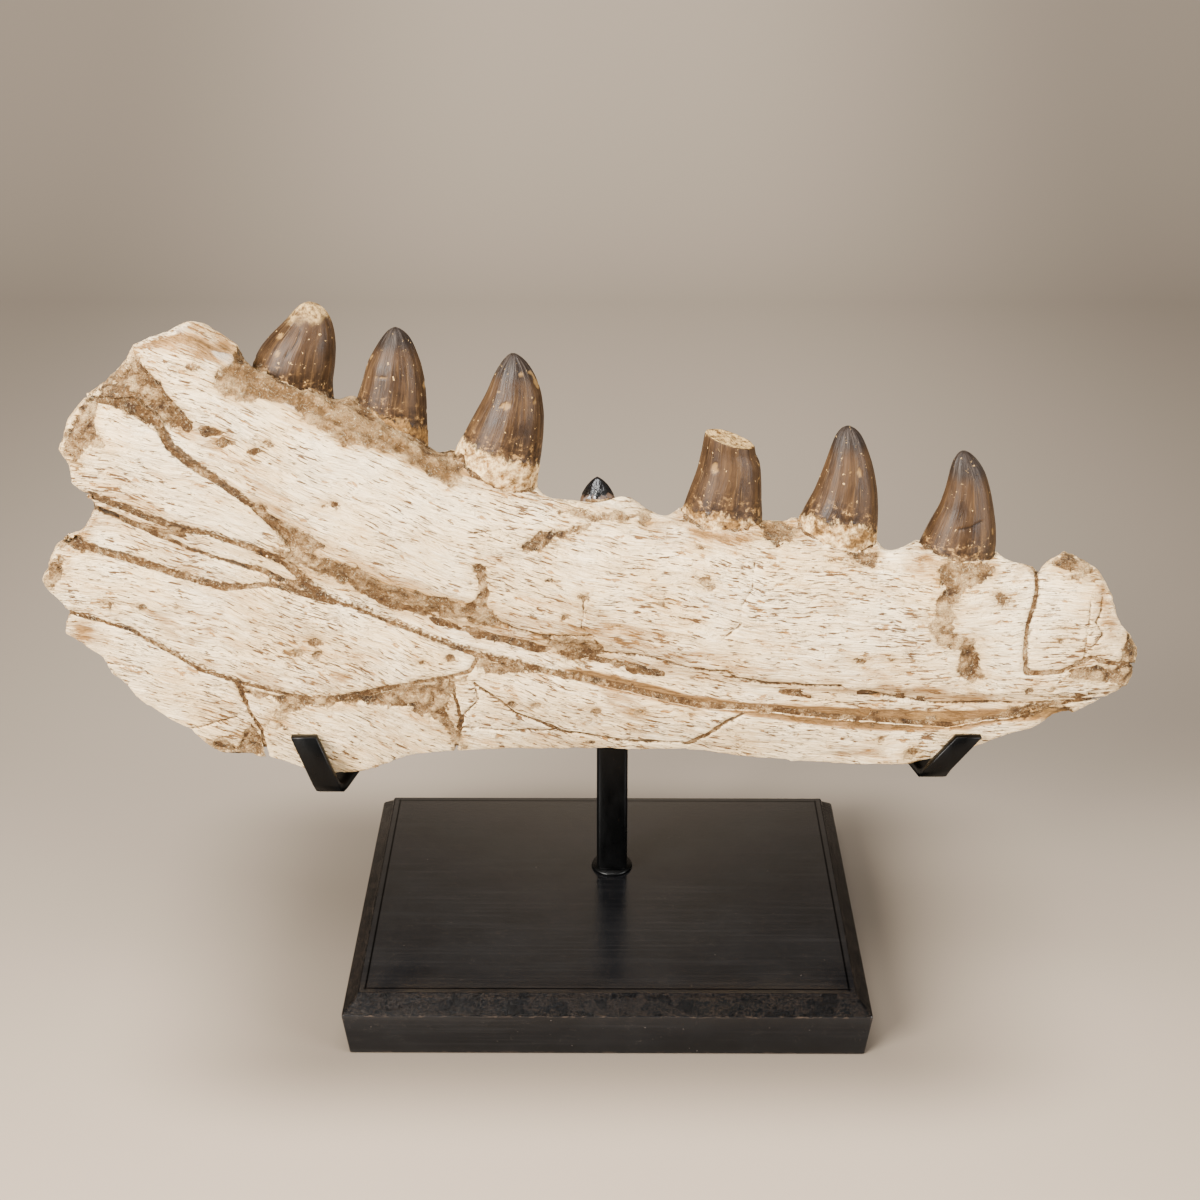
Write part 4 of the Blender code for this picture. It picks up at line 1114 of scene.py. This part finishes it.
def make_base_paint():
    """Satin black paint on wood: dust on top, brown wood at the worn edges."""
    material, tree, shader = new_material("satin black painted wood")
    place = position_mm(tree)
    x, y, z = (position_part(tree, axis) for axis in range(3))

    # Hairline scratches between the dust specks
    rubbed = cloud(tree, place, (26.0, 15.0, 15.0), 6.0, 0.78, 1.2)
    scratch = add(tree, "Math", (
        near_level(tree, rubbed, 0.50, 0.0025),
        add(tree, "MapRange", (cloud(tree, place, 5.0, 2.0, 0.5), 0.52, 0.62)),
    ), operation="MULTIPLY")
    # Worn edges: the bevel's top, its foot, the underside and the upright corners
    wear = 0.0
    for level, reach in ((BEVEL_FOOT, 0.0011), (BASE_HIGH.z - 0.0015, 0.0010), (0.0, 0.0016)):
        wear = add(tree, "Math", (near_level(tree, z, level, reach), wear), operation="MAXIMUM")
    for side in (BASE_LOW.x, BASE_HIGH.x):
        corner = add(tree, "Math", (
            near_level(tree, x, side, 0.0016), near_level(tree, y, BASE_LOW.y, 0.003),
        ), operation="MULTIPLY")
        wear = add(tree, "Math", (wear, corner), operation="MAXIMUM")
    rub = cloud(tree, place, (4.0, 4.0, 1.2), 6.0, 0.78)
    worn = add(tree, "Math", (
        wear, add(tree, "MapRange", (rub, 0.50, 0.60), interpolation_type=SMOOTH),
    ), operation="MULTIPLY")
    # The bevel is scuffed: fine pale hairs over patches of deeper black
    above_foot = add(tree, "Math", (z, BEVEL_FOOT), operation="GREATER_THAN")
    below_top = add(tree, "Math", (z, BASE_HIGH.z - 0.00005), operation="LESS_THAN")
    bevel = add(tree, "Math", (above_foot, below_top), operation="MULTIPLY")
    scuff = cloud(tree, place, (2.6, 2.6, 1.6), 6.0, 0.75, 1.6)
    hairs = add(tree, "Math", (bevel, near_level(tree, scuff, 0.52, 0.009)), operation="MULTIPLY")
    smut_share = add(tree, "Math", (bevel, 0.7), operation="MULTIPLY")
    # A painted shadow line runs round the raised panel, where its edge steps down
    panel_step_shadow = 0.0
    inside = above_foot
    for value, edge in ((x, PANEL_SIDE), (y, PANEL_FRONT)):
        away = add(tree, "Math", (value,), operation="ABSOLUTE")
        panel_step_shadow = add(tree, "Math", (near_level(tree, away, edge, 0.0007), panel_step_shadow), operation="MAXIMUM")
        within = add(tree, "Math", (away, edge + 0.0008), operation="LESS_THAN")
        inside = add(tree, "Math", (inside, within), operation="MULTIPLY")
    panel_step_shadow = add(tree, "Math", (panel_step_shadow, inside), operation="MULTIPLY")
    colour = paint(tree, "#070708", (
        (cloud(tree, place, (30.0, 22.0, 20.0), 5.0, 0.65), 0.35, 0.68, LINEAR, 1.0, "#0D0D0E"),
        (cloud(tree, place, (60.0, 1.2, 1.2), 4.0, 0.6), 0.5, 0.75, LINEAR, 0.35, "#1D1C1C"),
        (scratch, 0.0, 1.0, LINEAR, 0.5, "#3E362F"),
        (cloud(tree, place, 1.1, 1.0, 0.4), 0.78, 0.82, SMOOTH, 0.5, "#544C45"),
        (worn, 0.0, 1.0, LINEAR, 0.35, "#5C4C3E"),
        # Painted shade: the whole bevel is painted darker than the top
        (bevel, 0.0, 1.0, LINEAR, 0.85, "#020202"),
        (hairs, 0.0, 1.0, LINEAR, 0.7, "#4E4136"),
        (cloud(tree, place, (9.0, 9.0, 6.0), 4.0, 0.6), 0.50, 0.58, SMOOTH, smut_share, "#020202"),
        # Painted shadow of the panel's step
        (panel_step_shadow, 0.0, 1.0, LINEAR, 1.0, "#000000"),
    ))

    roughness = add(tree, "MapRange", (cloud(tree, place, 14.0, 5.0, 0.7), 0.3, 0.7, 0.14, 0.24))
    dark = add(tree, "Math", (bevel, panel_step_shadow), operation="MAXIMUM")
    sides = add(tree, "Math", (z, BEVEL_FOOT), operation="LESS_THAN")
    shine = add_up(tree, ((add(tree, "MapRange", (dark, 0.0, 1.0, 0.45, 0.03)), 1.0), (sides, -0.13)))
    scuffed = add(tree, "Math", (bevel, scuff), operation="MULTIPLY")
    peel = add_up(tree, ((cloud(tree, place, (2.4, 1.6, 1.6), 4.0, 0.6), 0.05), (scuffed, 0.35)))
    dress(tree, shader, colour, roughness, shine, peel)
    return material


def make_steel_paint():
    """Near black satin paint on the steel post, bar and hooks, rubbed bare in specks at its edges."""
    material, tree, shader = new_material("satin black painted steel")
    place = position_mm(tree)
    haze = add(tree, "MapRange", (cloud(tree, place, (7.0, 7.0, 16.0), 5.0, 0.65), 0.35, 0.7))
    colour = paint(tree, "#010101", (
        (haze, 0.0, 1.0, LINEAR, 1.0, "#040404"),
        (cloud(tree, place, (2.2, 2.2, 2.8), 5.0, 0.7), 0.70, 0.76, SMOOTH, 0.6, "#5E4C3C"),
    ))
    peel = add_up(tree, ((cloud(tree, place, (0.9, 0.9, 1.2), 3.0, 0.6), 0.06),))
    dress(tree, shader, colour, add(tree, "MapRange", (haze, 0.0, 1.0, 0.26, 0.38)), 0.14, peel)
    return material


def make_stand():
    """The stand's pieces are the CAD solids with smooth shading across their rounded edges."""
    base_paint = make_base_paint()
    steel_paint = make_steel_paint()
    for name in ("base", "collar", "post", "crossbar", "hook_left", "hook_right"):
        node = "stand_" + name
        shape = bmesh.new()
        shape.from_mesh(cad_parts[node].data)
        bmesh.ops.remove_doubles(shape, verts=shape.verts, dist=1e-6)
        mesh = mesh_of(shape, "shown_" + node)
        mesh.set_sharp_from_angle(angle=radians(38))
        paint_on, slot = (base_paint, "base_paint") if name == "base" else (steel_paint, "post_paint")
        show_mesh("shown_" + node, mesh, paint_on, slot, node)


def make_stage():
    """A grey floor that runs up into a backdrop."""
    shape = bmesh.new()
    profile = [(-2.5, 0.0), (0.9, 0.0)]
    profile += [(0.9 + 0.5 * sin(a), 0.5 - 0.5 * cos(a)) for a in np.linspace(0.1, 0.5 * pi, 12)]
    profile += [(1.4, 3.2)]
    rows = [[shape.verts.new((x, y, z)) for y, z in profile] for x in (-3.5, 3.5)]
    for i in range(len(profile) - 1):
        shape.faces.new((rows[0][i], rows[1][i], rows[1][i + 1], rows[0][i + 1]))
    bmesh.ops.recalc_face_normals(shape, faces=shape.faces)
    backdrop = add_object("backdrop", mesh_of(shape, "backdrop"))
    material, tree, shader = new_material("backdrop paper")
    y = position_part(tree, 1)
    to_side = add(tree, "Math", (position_part(tree, 0),), operation="ABSOLUTE")
    side_shade_share = add(tree, "MapRange", (y, -0.25, 0.15, 0.155, 0.62))
    # How far out from the base's outline, for its painted shadow, counted more strongly towards the front and
    # the back
    out = []
    for axis, edge, stretch in ((0, BASE_HIGH.x, 1.0), (1, BASE_HIGH.y, 1.9)):
        along = add(tree, "Math", (position_part(tree, axis),), operation="ABSOLUTE")
        past = add(tree, "Math", (along, stretch, -stretch * edge), operation="MULTIPLY_ADD")
        out.append(add(tree, "Math", (past, 0.0), operation="MAXIMUM"))
    away = add(tree, "VectorMath", (add(tree, "CombineXYZ", out),), out="Value", operation="LENGTH")
    # Painted shade: lighter near the viewer, darker towards both sides, and a painted shadow close to the
    # base's sides
    colour = paint(tree, "#958675", (
        (y, -0.22, 0.12, SMOOTH, 1.0, "#7B7063"),
        (to_side, 0.08, 0.50, SMOOTH, side_shade_share, "#4A4239"),
        (away, 0.105, 0.0, SMOOTH, 0.76, "#484037"),
    ))
    feed(tree, shader, {"Base Color": colour, "Roughness": 0.85, "Specular IOR Level": 0.2})
    backdrop.data.materials.append(material)


def add_light(name, place, target, size, power, colour=(1.0, 1.0, 1.0)):
    data = bpy.data.lights.new(name, "AREA")
    data.shape = "RECTANGLE"
    data.size, data.size_y = size
    data.energy = power
    data.color = colour
    light = add_object(name, data)
    light.location = place
    light.rotation_euler = (Vector(target) - Vector(place)).to_track_quat("-Z", "Y").to_euler()


def make_lights():
    add_light("overhead soft box", (-0.1, -0.35, 1.5), (0.0, 0.0, 0.15), (0.9, 0.8), 42.0)
    add_light("left soft box", (-1.35, -1.35, 1.1), (0.0, 0.0, 0.15), (1.0, 0.9), 232.0, (1.0, 0.97, 0.93))
    add_light("right fill", (1.5, -0.9, 0.6), (0.0, 0.0, 0.15), (0.8, 0.9), 56.0)
    world = bpy.data.worlds.new("soft room")
    world.use_nodes = True
    background = world.node_tree.nodes["Background"]
    background.inputs["Color"].default_value = hex_colour("#F4F1EC")
    background.inputs["Strength"].default_value = 0.56
    bpy.context.scene.world = world


def make_camera():
    data = bpy.data.cameras.new("photo camera")
    data.sensor_width = CAMERA_SENSOR
    data.lens = CAMERA_LENS
    camera = add_object("photo camera", data)
    camera.location = [value * MM for value in CAMERA_PLACE]
    camera.rotation_euler = (radians(CAMERA_TILT), 0.0, radians(CAMERA_TURN))
    bpy.context.scene.camera = camera


make_bones(make_bone_material(), make_teeth())
make_stand()
make_stage()
make_lights()
make_camera()
